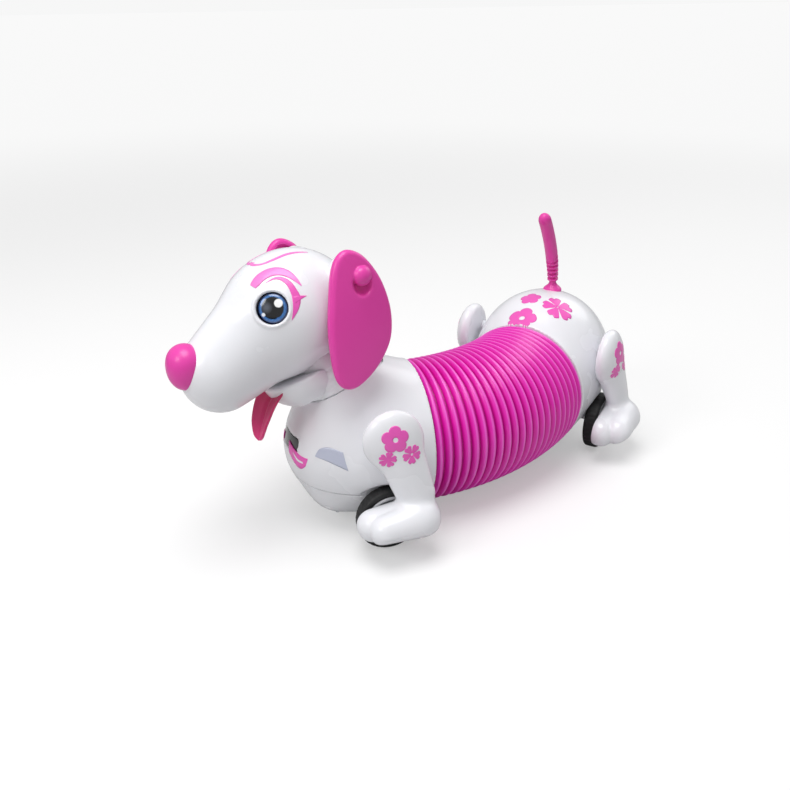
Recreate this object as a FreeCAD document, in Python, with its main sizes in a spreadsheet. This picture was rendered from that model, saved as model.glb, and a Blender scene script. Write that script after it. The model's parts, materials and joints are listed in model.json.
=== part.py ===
"""Robot dog toy: a two-axle dachshund with a corrugated hose for a body.

Millimetres, +Z up. The origin is on the ground below the middle of the front axle, and +X points
to the nose of the front half. The rear half and the head are built straight, in frames of their
own, and then turned to the pose the toy stands in: the hose bent and the head turned to its left.
"""
import FreeCAD, Part
import math
import os

DIMENSIONS = {
    "wall": 2.0, "running_gap": 0.06,
    # wheels and drive
    "wheel_radius": 20.0, "wheel_inner_face": 42.0, "wheel_width": 9.0, "tyre_depth": 4.0,
    "axle_radius": 2.0, "hub_boss_radius": 6.0, "arch_radius": 23.0, "arch_face": 40.5,
    "gear_module": 0.7, "wheel_gear_teeth": 28, "idler_small_teeth": 12, "idler_large_teeth": 30,
    "pinion_teeth": 10, "gear_face": 26.0, "gear_width": 4.0, "motor_radius": 10.0,
    "motor_length": 22.0,
    # hose
    "ring_back": 30.7, "hose_radius": 45.5, "hose_height": 50.0, "hose_depth": 4.0,
    "hose_wall": 1.0, "hose_length": 103.4, "hose_turn": 41.0, "hose_folds": 22,
    "hoop_radius": 39.5, "hoop_depth": 2.5, "hoop_width": 2.0, "rump_ring_front": 36.2,
    # chest
    "chest_x": -8.0, "chest_z": 51.0, "chest_half_length": 60.0, "chest_half_width": 47.5,
    "chest_half_height": 48.0, "seam_height": 34.0, "tub_front": 34.0, "tub_back": 27.0,
    "tub_half_width": 36.0, "tub_bottom": 8.0, "tub_top": 36.0, "tub_round": 9.0,
    "window_half_width": 13.0, "window_low": 50.0, "window_high": 64.0, "window_start": 38.0,
    "speaker_x": 17.0, "speaker_radius": 14.0, "magnet_radius": 8.0, "screw_radius": 1.3,
    # neck and head
    "neck_x": 18.0, "neck_z": 95.0, "neck_lean": 30.0, "head_turn": 18.0, "neck_radius": 25.0,
    "neck_root_radius": 34.0, "neck_root_drop": 24.0, "journal_radius": 10.0,
    "neck_rise": 30.0, "neck_ball": 20.0, "pin_radius": 2.5,
    "skull_x": 42.0, "skull_z": 141.0, "skull_half_length": 38.0, "skull_half_width": 34.0,
    "skull_half_height": 39.0, "muzzle_x": 84.0, "muzzle_z": 118.0, "muzzle_half_length": 20.0,
    "muzzle_half_width": 21.0, "muzzle_half_height": 25.0, "nose_x": 107.0, "nose_z": 122.0,
    "nose_radius": 12.0, "eye_x": 65.0, "eye_y": 19.0, "eye_z": 150.0, "eye_radius": 9.5,
    "ear_x": 18.0, "ear_z": 158.0, "ear_face": 35.5, "ear_thickness": 7.0, "ear_peg": 3.0,
    "ear_half_length": 21.0, "ear_half_height": 38.0, "ear_lean": -9.0,
    # legs
    "shoulder_x": -1.5, "shoulder_z": 74.0, "shoulder_radius": 17.0, "leg_face": 48.0,
    "leg_peg": 4.0, "paw_face": 52.2, "paw_step": 45.0, "boss_root": 36.2,
    "paw_x": -6.0, "paw_y": 63.5, "paw_z": 20.0, "paw_half_length": 25.5, "paw_half_width": 12.5,
    "paw_half_height": 15.5, "tongue_lean": 42.0,
    # rump
    "rump_z": 58.0, "rump_half_length": 50.0, "rump_half_width": 48.0, "rump_half_height": 51.0,
    "rump_bottom": 9.0, "stub_inner_face": 31.0,
    "cell_radius": 7.0, "cell_length": 50.0, "cell_pitch": 16.0, "cell_height": 39.0,
    "box_half_length": 25.5, "box_half_width": 28.5, "box_bottom": 31.0, "box_height": 18.0,
    "box_wall": 1.5,
    # tail
    "tail_x": -12.0, "tail_z": 108.0, "tail_radius": 5.0,
}
SIDES = {"left": 1, "right": -1}

doc = FreeCAD.newDocument("robot_dog")
sheet = doc.addObject("Spreadsheet::Sheet", "dims")
for row, (alias, value) in enumerate(DIMENSIONS.items(), start=1):
    sheet.set(f"A{row}", alias)
    sheet.set(f"B{row}", str(value))
    sheet.setAlias(f"B{row}", alias)
doc.recompute()

nodes = []


def dim(alias):
    """A driving dimension as a number."""
    return float(getattr(sheet, alias))


AXES = {
    "X": FreeCAD.Rotation(FreeCAD.Vector(0, 1, 0), 90),
    "Y": FreeCAD.Rotation(FreeCAD.Vector(1, 0, 0), -90),
    "-Y": FreeCAD.Rotation(FreeCAD.Vector(1, 0, 0), 90),
    "-X": FreeCAD.Rotation(FreeCAD.Vector(0, 1, 0), -90),
    "Z": FreeCAD.Rotation(),
}


def lean(degrees):
    """The rotation that leans +Z forward, towards +X."""
    return FreeCAD.Rotation(FreeCAD.Vector(0, 1, 0), degrees)


# --- building blocks: primitives and booleans whose sizes are bound to the sheet ---

def bind(item, at=("0", "0", "0"), turn=None, **sizes):
    """Binds the item's sizes and the place of its base to formulas over the sheet."""
    if turn is not None:
        item.Placement = FreeCAD.Placement(FreeCAD.Vector(), turn)
    for axis, formula in zip("xyz", at):
        item.setExpression(f"Placement.Base.{axis}", str(formula))
    for prop, formula in sizes.items():
        item.setExpression(prop, str(formula))
    return item


def cylinder(name, radius, height, at, axis="Z", turn=None):
    item = doc.addObject("Part::Cylinder", name)
    return bind(item, at, turn or AXES[axis], Radius=radius, Height=height)


def cone(name, radius_low, radius_high, height, at, axis="Z", turn=None):
    item = doc.addObject("Part::Cone", name)
    return bind(item, at, turn or AXES[axis], Radius1=radius_low, Radius2=radius_high, Height=height)


def box(name, size, at, turn=None):
    item = doc.addObject("Part::Box", name)
    return bind(item, at, turn, Length=size[0], Width=size[1], Height=size[2])


def ellipsoid(name, half, at, turn=None):
    item = doc.addObject("Part::Ellipsoid", name)
    return bind(item, at, turn, Radius1=half[2], Radius2=half[0], Radius3=half[1])


def fuse(name, *items):
    item = doc.addObject("Part::MultiFuse", name)
    item.Shapes = list(items)
    return item


def cut(name, base, *tools):
    item = doc.addObject("Part::Cut", name)
    item.Base = base
    item.Tool = tools[0] if len(tools) == 1 else fuse(name + "_tools", *tools)
    return item


def common(name, base, tool):
    item = doc.addObject("Part::Common", name)
    item.Base = base
    item.Tool = tool
    return item


def rounded(name, block, radius):
    """A box with all twelve edges rounded."""
    item = doc.addObject("Part::Fillet", name)
    item.Base = block
    item.Edges = [(edge, radius, radius) for edge in range(1, 13)]
    return item


def formed(name, shape):
    """A piece whose shape no primitive or boolean feature can give."""
    item = doc.addObject("Part::Feature", name)
    item.Shape = shape
    return item


def add_node(item, label, pose=FreeCAD.Placement()):
    """Names a finished piece and puts it where it stands on the toy."""
    item.Label = label
    item.Placement = pose.multiply(item.Placement)
    nodes.append(item)
    return item


# --- poses of the three frames ---

def neck_axis():
    angle = math.radians(dim("neck_lean"))
    return FreeCAD.Vector(math.sin(angle), 0, math.cos(angle))


def head_pose():
    """The head's frame, turned about the leaning neck axis."""
    turn = FreeCAD.Rotation(neck_axis(), dim("head_turn"))
    return FreeCAD.Placement(FreeCAD.Vector(), turn, neck_point(0))


def neck_point(rise):
    """A point on the neck axis, a distance above the collar."""
    return FreeCAD.Vector(dim("neck_x"), 0, dim("neck_z")) + neck_axis() * rise


def hose_station(share):
    """The frame on the bent hose's centre line at a share of its length: -X runs down the hose."""
    turn = math.radians(dim("hose_turn"))
    bend = dim("hose_length") / turn
    angle = share * turn
    place = FreeCAD.Vector(
        -dim("ring_back") - bend * math.sin(angle), -bend * (1 - math.cos(angle)), dim("hose_height")
    )
    return FreeCAD.Placement(place, FreeCAD.Rotation(FreeCAD.Vector(0, 0, 1), math.degrees(angle)))


def rear_pose():
    """The rear half's frame: its origin is on the ground below the middle of the rear axle."""
    back = FreeCAD.Vector(-dim("rump_ring_front"), 0, -dim("hose_height"))
    return hose_station(1).multiply(FreeCAD.Placement(back, FreeCAD.Rotation()))


FRONT = FreeCAD.Placement()
HEAD = head_pose()
REAR = rear_pose()


def neck_formula(rise):
    """The sheet formulas of a point on the neck axis."""
    angle = "dims.neck_lean * 1 deg"
    return (f"dims.neck_x + ({rise}) * sin({angle})", "0", f"dims.neck_z + ({rise}) * cos({angle})")


# --- wheels and drive ---

def tyre(label, side, pose):
    y = f"{side} * dims.wheel_inner_face"
    axis = "Y" if side > 0 else "-Y"
    at = ("0", y, "dims.wheel_radius")
    outside = cylinder(label + "_outside", "dims.wheel_radius", "dims.wheel_width", at, axis)
    hole = cylinder(label + "_hole", "dims.wheel_radius - dims.tyre_depth", "dims.wheel_width", at, axis)
    add_node(cut(label, outside, hole), label, pose)


def hub(label, side, pose, spins_on_axle):
    """A dished hub. A driven hub is pressed on its shaft, and a free one runs on the axle."""
    y = f"{side} * dims.wheel_inner_face"
    axis = "Y" if side > 0 else "-Y"
    at = ("0", y, "dims.wheel_radius")
    rim = cylinder(label + "_rim", "dims.wheel_radius - dims.tyre_depth", "dims.wheel_width", at, axis)
    dish_at = ("0", f"{side} * (dims.wheel_inner_face + 4)", "dims.wheel_radius")
    dish_radius = "dims.wheel_radius - dims.tyre_depth - dims.wall"
    dish = cylinder(label + "_dish", dish_radius, "dims.wheel_width", dish_at, axis)
    boss = cylinder(label + "_boss", "dims.hub_boss_radius", "dims.wheel_width", at, axis)
    bore_radius = "dims.axle_radius + dims.running_gap" if spins_on_axle else "dims.axle_radius"
    bore = cylinder(label + "_bore", bore_radius, "dims.wheel_width", at, axis)
    body = fuse(label + "_body", cut(label + "_dished", rim, dish), boss)
    add_node(cut(label, body, bore), label, pose)


def gear_outline(teeth, phase):
    """A closed wire of a spur gear with straight-flanked teeth, in the XZ plane."""
    module = dim("gear_module")
    pitch = module * teeth / 2
    root = pitch - 1.2 * module
    tip = pitch + 0.85 * module
    step = 2 * math.pi / teeth
    corners = ((-0.26, root), (-0.10, tip), (0.10, tip), (0.26, root))
    points = []
    for tooth in range(teeth):
        for share, radius in corners:
            angle = phase + (tooth + share) * step
            points.append(FreeCAD.Vector(radius * math.cos(angle), 0, radius * math.sin(angle)))
    return Part.makePolygon(points + points[:1])


def spur_gear(teeth, phase, x, z, y_low, width):
    blank = Part.Face(gear_outline(teeth, phase)).extrude(FreeCAD.Vector(0, width, 0))
    blank.translate(FreeCAD.Vector(x, y_low, z))
    return blank


def drive_places():
    """The idler's and the motor's axes (x, z): the idler stands behind the axle, the motor above it."""
    module = dim("gear_module")
    first = module * (dim("wheel_gear_teeth") + dim("idler_small_teeth")) / 2
    second = module * (dim("idler_large_teeth") + dim("pinion_teeth")) / 2
    reach = first * math.sqrt(0.5)
    idler = (-reach, dim("wheel_radius") + reach)
    return idler, (idler[0], idler[1] + second)


def mesh_phase(teeth, angle):
    """The phase that puts a gap between two teeth at an angle."""
    return angle - math.pi / teeth


def drive_side(name, side):
    """One side's reduction: wheel gear with its shaft, two-step idler, motor pinion, motor."""
    (idler_x, idler_z), (motor_x, motor_z) = drive_places()
    width = dim("gear_width")
    face = dim("gear_face")
    inner = face - width - 1
    low = lambda y, depth: y if side > 0 else -y - depth

    toward_idler = math.atan2(idler_z - dim("wheel_radius"), idler_x)
    wheel_teeth = int(dim("wheel_gear_teeth"))
    gear = spur_gear(wheel_teeth, toward_idler, 0, dim("wheel_radius"), low(face, width), width)
    shaft_end = dim("wheel_inner_face") + dim("wheel_width")
    shaft = Part.makeCylinder(
        dim("axle_radius"), shaft_end - face,
        FreeCAD.Vector(0, side * face, dim("wheel_radius")), FreeCAD.Vector(0, side, 0),
    )
    add_node(formed(f"wheel_gear_{name}", gear.fuse(shaft).removeSplitter()), f"wheel_gear_{name}")

    small_teeth = int(dim("idler_small_teeth"))
    large_teeth = int(dim("idler_large_teeth"))
    small = spur_gear(small_teeth, mesh_phase(small_teeth, toward_idler + math.pi), idler_x, idler_z,
                      low(inner, width + 1 + width), 2 * width + 1)
    large = spur_gear(large_teeth, math.pi / 2, idler_x, idler_z, low(inner, width), width)
    bore = Part.makeCylinder(
        1.5 + dim("running_gap"), 20,
        FreeCAD.Vector(idler_x, low(inner, width) - 8, idler_z), FreeCAD.Vector(0, 1, 0),
    )
    idler = small.fuse(large).cut(bore).removeSplitter()
    add_node(formed(f"idler_gear_{name}", idler), f"idler_gear_{name}")

    teeth = int(dim("pinion_teeth"))
    pinion = spur_gear(teeth, mesh_phase(teeth, -math.pi / 2), motor_x, motor_z, low(inner, width), width)
    shaft_root = FreeCAD.Vector(motor_x, side * (inner + width), motor_z)
    motor_shaft = Part.makeCylinder(1.0, width + 8, shaft_root, FreeCAD.Vector(0, -side, 0))
    driver = pinion.fuse(motor_shaft).removeSplitter()
    add_node(formed(f"motor_pinion_{name}", driver), f"motor_pinion_{name}")

    at = (str(motor_x), f"{side} * (dims.gear_face - dims.gear_width - 3)", str(motor_z))
    away = "-Y" if side > 0 else "Y"
    can = cylinder(f"drive_motor_{name}_can", "dims.motor_radius", "dims.motor_length - 5", at, away)
    flats = box(
        f"drive_motor_{name}_flats", ("1.6 * dims.motor_radius", "60", "30"),
        (f"{motor_x} - 0.8 * dims.motor_radius", "-30", f"{motor_z} - 15"),
    )
    nose_bore = cylinder(f"drive_motor_{name}_bore", "1 + dims.running_gap", "8", at, away)
    flat_can = common(f"drive_motor_{name}_flat_can", can, flats)
    add_node(cut(f"drive_motor_{name}", flat_can, nose_bore), f"drive_motor_{name}")


# --- chest ---

def arches(name, grow):
    """The wheel arches of one half, made wider by grow."""
    made = []
    for side_name, side in SIDES.items():
        at = ("0", f"{side} * (dims.arch_face - {grow})", "dims.wheel_radius")
        axis = "Y" if side > 0 else "-Y"
        made.append(cylinder(f"{name}_{side_name}", f"dims.arch_radius + {grow}", "20", at, axis))
    return made


def chest_volume(name, inset):
    """The chest's outer volume made smaller by inset: a dome, the hose rim, the tub and the neck root."""
    half = tuple(f"dims.chest_half_{way} - {inset}" for way in ("length", "width", "height"))
    dome_full = ellipsoid(name + "_dome_full", half, ("dims.chest_x", "0", "dims.chest_z"))
    front = box(name + "_front", ("200", "200", "200"), ("-dims.ring_back - " + str(inset), "-100", "-40"))
    dome = common(name + "_dome", dome_full, front)
    rim = cylinder(
        name + "_rim", f"dims.hose_radius - {inset}", f"dims.ring_back + dims.chest_x + {inset}",
        (f"-dims.ring_back - {inset}", "0", "dims.hose_height"), "X",
    )
    tub_block = box(
        name + "_tub_block",
        (f"dims.tub_front + dims.tub_back - 2 * {inset}", f"2 * dims.tub_half_width - 2 * {inset}",
         f"dims.tub_top - dims.tub_bottom - {inset}"),
        (f"-dims.tub_back + {inset}", f"-dims.tub_half_width + {inset}", f"dims.tub_bottom + {inset}"),
    )
    tub = rounded(name + "_tub", tub_block, dim("tub_round") - inset)
    root = cone(
        name + "_neck_root", f"dims.neck_root_radius - {inset}", f"dims.neck_radius - {inset}",
        f"dims.neck_root_drop - {inset}", neck_formula("-dims.neck_root_drop"), turn=lean(dim("neck_lean")),
    )
    return fuse(name, dome, rim, tub, root)


def chest_shells():
    outer = chest_volume("chest_outer", 0)
    hollow = cut("chest_hollow", chest_volume("chest_inner", dim("wall")), *arches("chest_arch_lining", 2))
    carved = cut("chest_carved", outer, hollow, *arches("chest_arch", 0))
    bosses = []
    bores = [cylinder("journal_bore", "dims.journal_radius + dims.running_gap", "20",
                      neck_formula("-15"), turn=lean(dim("neck_lean")))]
    for name, side in SIDES.items():
        axis = "Y" if side > 0 else "-Y"
        bosses.append(shoulder_boss(f"chest_shoulder_{name}", side))
        bores.append(cylinder(
            f"chest_peg_bore_{name}", "dims.leg_peg + dims.running_gap", "20",
            ("dims.shoulder_x", f"{side} * 34", "dims.shoulder_z"), axis))
        bores.append(cylinder(
            f"chest_shaft_bore_{name}", "dims.axle_radius + dims.running_gap", "20",
            ("0", f"{side} * 30", "dims.wheel_radius"), axis))
        bores.append(cylinder(
            f"chest_gear_room_{name}", "dims.gear_module * (dims.wheel_gear_teeth + 2) / 2 + 0.6",
            "dims.gear_width + 1", ("0", f"{side} * (dims.gear_face - 0.5)", "dims.wheel_radius"), axis))
    plates = [gear_plate(name, side) for name, side in SIDES.items()]
    window = window_box("chest_window_opening")
    shell = cut("chest_bored", fuse("chest_bossed", carved, *bosses, *plates), window, *bores)
    split = split_block("chest_upper_side", "dims.seam_height", "200")
    add_node(common("chest_shell", shell, split), "chest_shell")
    pins = [idler_pin(name, side) for name, side in SIDES.items()]
    lower = split_block("chest_lower_side", "-60", "dims.seam_height + 60")
    add_node(fuse("belly_shell", common("belly_half", shell, lower), *pins), "belly_shell")


def shoulder_boss(name, side):
    """The boss a leg's peg turns in, from inside the shell's wall out to the leg's face."""
    at = ("dims.shoulder_x", f"{side} * (dims.boss_root - 0.2)", "dims.shoulder_z")
    reach = "dims.leg_face - dims.boss_root"
    return cylinder(name, "dims.leg_peg + 6", reach, at, "Y" if side > 0 else "-Y")


def gear_plate(name, side):
    """The upright plate inside one side of the tub that carries the idler pin and the wheel shaft."""
    y_low = f"{side} * (dims.tub_half_width - 1) - 1"
    return box(f"gear_plate_{name}", ("40", "2", "dims.seam_height - dims.tub_bottom - 4"),
               ("-24", y_low, "dims.tub_bottom + 1"))


def idler_pin(name, side):
    """The moulded pin an idler turns on, standing on the tub's side wall."""
    (idler_x, idler_z), _ = drive_places()
    axis = "-Y" if side > 0 else "Y"
    at = (str(idler_x), f"{side} * (dims.tub_half_width - 1)", str(idler_z))
    reach = "dims.tub_half_width - dims.gear_face + dims.gear_width + 2"
    return cylinder(f"idler_pin_{name}", "1.5", reach, at, axis)


def split_block(name, z_low, height):
    return box(name, ("400", "400", height), ("-200", "-200", z_low))


def window_box(name):
    return box(
        name, ("40", "2 * dims.window_half_width", "dims.window_high - dims.window_low"),
        ("dims.window_start", "-dims.window_half_width", "dims.window_low"),
    )


def sensor_window():
    half = tuple(f"dims.chest_half_{way}" for way in ("length", "width", "height"))
    inner_half = tuple(f"dims.chest_half_{way} - dims.wall" for way in ("length", "width", "height"))
    at = ("dims.chest_x", "0", "dims.chest_z")
    inside = ellipsoid("window_inside", inner_half, at)
    skin = cut("window_skin", ellipsoid("window_dome", half, at), inside)
    add_node(common("sensor_window", skin, window_box("window_cutter")), "sensor_window")


def chest_electronics():
    add_node(box("sensor_board", ("1.6", "20", "12"), ("36", "-10", "51")), "sensor_board")
    board = box("main_board_plate", ("34", "50", "1.6"), ("-20", "-25", "64"))
    chip = box("main_board_chip", ("10", "10", "2"), ("-8", "-5", "65.6"))
    plug = box("main_board_plug", ("6", "14", "6"), ("-19", "-7", "65.6"))
    add_node(fuse("main_board", board, chip, plug), "main_board")
    magnet = cylinder("speaker_magnet", "dims.magnet_radius", "5", ("dims.speaker_x", "0", "24"))
    basket = cone("speaker_basket", "dims.speaker_radius", "dims.magnet_radius", "5",
                  ("dims.speaker_x", "0", "19"))
    add_node(fuse("speaker", magnet, basket), "speaker")
    screws = [
        cylinder(f"chest_screw_{end}_{name}", "dims.screw_radius", "12", (x, f"{side} * 17", "10.3"))
        for end, x in (("back", "-17"), ("front", "24")) for name, side in SIDES.items()
    ]
    add_node(fuse("chest_screws", *screws), "chest_screws")


# --- hose ---

def circle_wire(station, radius):
    axis = station.Rotation.multVec(FreeCAD.Vector(1, 0, 0))
    return Part.Wire(Part.Circle(station.Base, axis, radius).toShape())


def corrugated_solid(inset):
    """A solid bent along the hose's arc whose radius alternates between crest and valley."""
    steps = 2 * int(dim("hose_folds"))
    wires = []
    for step in range(steps + 1):
        depth = dim("hose_depth") if step % 2 == 0 else 0.0
        wires.append(circle_wire(hose_station(step / steps), dim("hose_radius") - depth - inset))
    return Part.makeLoft(wires, True, True)


def hose():
    skin = corrugated_solid(0).cut(corrugated_solid(dim("hose_wall")))
    add_node(formed("hose_bellows", skin), "hose_bellows")


def hose_ring(label, pose, flange_axis, spigot_axis, floor):
    """The ring that holds one end of the hose: a spigot inside the hose and a flange inside the
    shell, whose lower edge stops at the shell's floor."""
    at = ("0", "0", "dims.hose_height")
    spigot = cylinder(label + "_spigot", "dims.hoop_radius", "4", at, spigot_axis)
    disc = cylinder(label + "_disc", "dims.hose_radius - dims.wall - 0.1", "3", at, flange_axis)
    above = box(label + "_above_floor", ("20", "120", "120"), ("-10", "-60", floor))
    flange = common(label + "_flange", disc, above)
    hole = cylinder(label + "_hole", "dims.hoop_radius - 4", "20", ("-10", "0", "dims.hose_height"), "X")
    add_node(cut(label, fuse(label + "_body", spigot, flange), hole), label, pose)


def hose_seam(index):
    """The share of the hose's length where support hoop number index stands, on a crest."""
    return (0.5 + 3 * index) / dim("hose_folds")


def hoops():
    for index in range(1, 7):
        station = hose_station(hose_seam(index))
        label = f"hose_hoop_{index}"
        at = ("-dims.hoop_width / 2", "0", "0")
        outside = cylinder(label + "_outside", "dims.hoop_radius", "dims.hoop_width", at, "X")
        inner_radius = "dims.hoop_radius - dims.hoop_depth"
        inside = cylinder(label + "_inside", inner_radius, "dims.hoop_width", at, "X")
        add_node(cut(label, outside, inside), label, station)


def cable():
    """The power lead from the battery box to the main board, along the middle of the hose."""
    start, middle, end = (hose_station(share) for share in (-0.05, 0.5, 1.05))
    path = Part.Wire(Part.Arc(start.Base, middle.Base, end.Base).toShape())
    lead = path.makePipeShell([circle_wire(start, 1.6)], True, False)
    add_node(formed("power_lead", lead), "power_lead")


# --- legs ---

def leg_volume(name, side):
    """Shoulder disc, tapering leg and rounded paw."""
    shoulder = ellipsoid(
        name + "_shoulder",
        ("dims.shoulder_radius", "10.5", "dims.shoulder_radius"),
        ("dims.shoulder_x", f"{side} * 51", "dims.shoulder_z"),
    )
    knee = FreeCAD.Vector(-3, side * 53, 70)
    ankle = FreeCAD.Vector(-14, side * 62, 28)
    shin = cone(
        name + "_shin", "12", "9", str((ankle - knee).Length),
        (str(knee.x), str(knee.y), str(knee.z)),
        turn=FreeCAD.Rotation(FreeCAD.Vector(0, 0, 1), ankle - knee),
    )
    paw = ellipsoid(name + "_paw", ("dims.paw_half_length", "dims.paw_half_width", "dims.paw_half_height"),
                    ("dims.paw_x", f"{side} * dims.paw_y", "dims.paw_z"))
    return fuse(name, shoulder, shin, paw)


def leg(label, side, pose):
    outer = leg_volume(label + "_outer", side)
    face_low = f"{side} * dims.leg_face - ({0 if side < 0 else 60})"
    near = box(label + "_near", ("120", "60", "200"), ("-60", face_low, "-20"))
    step_low = f"{side} * dims.paw_face - ({0 if side < 0 else 60})"
    wheel_side = box(label + "_wheel_side", ("120", "60", "dims.paw_step + 20"),
                     ("-60", step_low, "-20"))
    below = box(label + "_below", ("120", "200", "20"), ("-60", "-100", "-16"))
    body = cut(label + "_body", outer, near, wheel_side, below)
    peg = cylinder(
        label + "_peg", "dims.leg_peg", "dims.leg_face - 34",
        ("dims.shoulder_x", f"{side} * (dims.leg_face + 1)", "dims.shoulder_z"), "-Y" if side > 0 else "Y",
    )
    add_node(fuse(label, body, peg), label, pose)


# --- neck and head ---

def neck_collar():
    turn = lean(dim("neck_lean"))
    skirt = cone("neck_skirt", "dims.neck_radius - 0.5", "dims.neck_ball - 1", "22",
                 neck_formula("0.2"), turn=turn)
    ball = ellipsoid("neck_ball_outside", ("dims.neck_ball",) * 3, neck_formula("dims.neck_rise"))
    journal = cylinder("neck_journal", "dims.journal_radius", "10", neck_formula("-8"), turn=turn)
    passage = cylinder("neck_passage", "5", "80", neck_formula("-20"), turn=turn)
    pin_hole = cylinder(
        "neck_pin_hole", "dims.pin_radius + dims.running_gap", "80",
        (neck_formula("dims.neck_rise")[0], "-40", neck_formula("dims.neck_rise")[2]), "Y",
    )
    body = fuse("neck_body", skirt, ball, journal)
    add_node(cut("neck_collar", body, passage, pin_hole), "neck_collar", HEAD)


def head_volume(name, inset):
    """Skull, a tapering bridge and a blunt muzzle."""
    ways = ("length", "width", "height")
    skull_half = tuple(f"dims.skull_half_{way} - {inset}" for way in ways)
    skull = ellipsoid(name + "_skull", skull_half, ("dims.skull_x", "0", "dims.skull_z"))
    muzzle_half = tuple(f"dims.muzzle_half_{way} - {inset}" for way in ways)
    muzzle = ellipsoid(name + "_muzzle", muzzle_half, ("dims.muzzle_x", "0", "dims.muzzle_z"))
    brow = FreeCAD.Vector(50, 0, 134)
    tip = FreeCAD.Vector(dim("muzzle_x"), 0, dim("muzzle_z"))
    bridge = cone(
        name + "_bridge", f"31 - {inset}", f"21 - {inset}", str((tip - brow).Length),
        (str(brow.x), "0", str(brow.z)),
        turn=FreeCAD.Rotation(FreeCAD.Vector(0, 0, 1), tip - brow),
    )
    return fuse(name, skull, muzzle, bridge)


def neck_opening():
    """The room the neck ball and its skirt need inside the head as the head nods."""
    down = lean(dim("neck_lean") + 180)
    centre = neck_formula("dims.neck_rise")
    ball = ellipsoid("neck_room_ball", ("dims.neck_ball + 0.4",) * 3, centre)
    flare = cone("neck_room_flare", "dims.neck_ball + 0.4", "dims.neck_ball + 12", "42", centre, turn=down)
    return [ball, flare]


def eye_volume(name, side, grow):
    half = (f"dims.eye_radius + {grow}",) * 3
    return ellipsoid(name, half, ("dims.eye_x", f"{side} * dims.eye_y", "dims.eye_z"))


def head_parts():
    outer = head_volume("head_outer", 0)
    hollow = head_volume("head_inner", dim("wall"))
    bosses = []
    holes = [eye_volume(f"eye_socket_{name}", side, 0) for name, side in SIDES.items()]
    centre = neck_formula("dims.neck_rise")
    for name, side in SIDES.items():
        axis = "Y" if side > 0 else "-Y"
        boss_at = (centre[0], f"{side} * 21", centre[2])
        bosses.append(cylinder(f"pin_boss_{name}", "6", "8", boss_at, axis))
        ear_at = ("dims.ear_x", f"{side} * 14", "dims.ear_z")
        bosses.append(cylinder(f"ear_boss_{name}", "8", "dims.ear_face - 14.3", ear_at, axis))
        bore_at = ("dims.ear_x", f"{side} * 10", "dims.ear_z")
        bores = "dims.ear_peg + dims.running_gap"
        holes.append(cylinder(f"ear_bore_{name}", bores, "40", bore_at, axis))
    holes.append(cylinder("head_pin_hole", "dims.pin_radius", "54", (centre[0], "-27", centre[2]), "Y"))
    shell = fuse("head_bossed", cut("head_hollowed", outer, hollow), *bosses)
    add_node(cut("head_shell", shell, *neck_opening(), *holes), "head_shell", HEAD)
    pin = cylinder("nod_pin_outside", "dims.pin_radius", "54", (centre[0], "-27", centre[2]), "Y")
    hollow = cylinder("nod_pin_hollow", "dims.pin_radius - 1", "60", (centre[0], "-30", centre[2]), "Y")
    add_node(cut("nod_pin", pin, hollow), "nod_pin", HEAD)


def nose():
    ball = ellipsoid("nose_ball", ("dims.nose_radius", "dims.nose_radius + 1", "dims.nose_radius"),
                     ("dims.nose_x", "0", "dims.nose_z"))
    add_node(cut("nose", ball, head_volume("nose_seat", 0)), "nose", HEAD)


def mouth_parts():
    jaw_full = ellipsoid("jaw_full", ("24", "14", "9"), ("62", "0", "96"))
    tongue_full = tongue_volume("tongue_full")
    down = lean(dim("neck_lean") + 180)
    neck_room = cone("jaw_neck_room", "dims.neck_ball + 1.2", "dims.neck_ball + 17", "42",
                     neck_formula("dims.neck_rise"), turn=down)
    jaw = cut("jaw", jaw_full, head_volume("jaw_seat", 0), tongue_volume("tongue_room"), neck_room)
    add_node(jaw, "jaw", HEAD)
    add_node(cut("tongue", tongue_full, head_volume("tongue_seat", 0)), "tongue", HEAD)


def tongue_volume(name):
    return ellipsoid(name, ("22", "10", "3.2"), ("66", "0", "82"), lean(dim("tongue_lean")))


def eyes():
    for name, side in SIDES.items():
        ball = eye_volume(f"eye_{name}_ball", side, 0)
        back_at = ("dims.eye_x - 43", "-30", "dims.eye_z - 20")
        back = box(f"eye_{name}_back", ("40", "60", "40"), back_at)
        add_node(cut(f"eye_{name}", ball, back), f"eye_{name}", HEAD)
    plate = box("eye_light_plate", ("1.6", "44", "12"), ("dims.eye_x - 14", "-22", "dims.eye_z - 6"))
    lights = [
        cylinder(f"eye_light_{name}", "2.5", "4",
                 ("dims.eye_x - 13", f"{side} * dims.eye_y", "dims.eye_z"), "X")
        for name, side in SIDES.items()
    ]
    add_node(fuse("eye_light_board", plate, *lights), "eye_light_board", HEAD)


def ears():
    for name, side in SIDES.items():
        middle = f"{side} * (dims.ear_face + dims.ear_thickness / 2)"
        flap_half = ("dims.ear_half_length", "dims.ear_thickness / 2", "dims.ear_half_height")
        flap = ellipsoid(f"ear_{name}_flap", flap_half, ("dims.ear_x + 4", middle, "dims.ear_z - 20"),
                         lean(dim("ear_lean")))
        knob_y = f"{side} * (dims.ear_face + dims.ear_thickness - 1)"
        knob = ellipsoid(f"ear_{name}_knob", ("6", "6", "6"), ("dims.ear_x", knob_y, "dims.ear_z"))
        peg_at = ("dims.ear_x", f"{side} * (dims.ear_face + 1)", "dims.ear_z")
        peg = cylinder(f"ear_{name}_peg", "dims.ear_peg", "14", peg_at, "-Y" if side > 0 else "Y")
        add_node(fuse(f"ear_{name}", flap, knob, peg), f"ear_{name}", HEAD)


# --- rump ---

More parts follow.
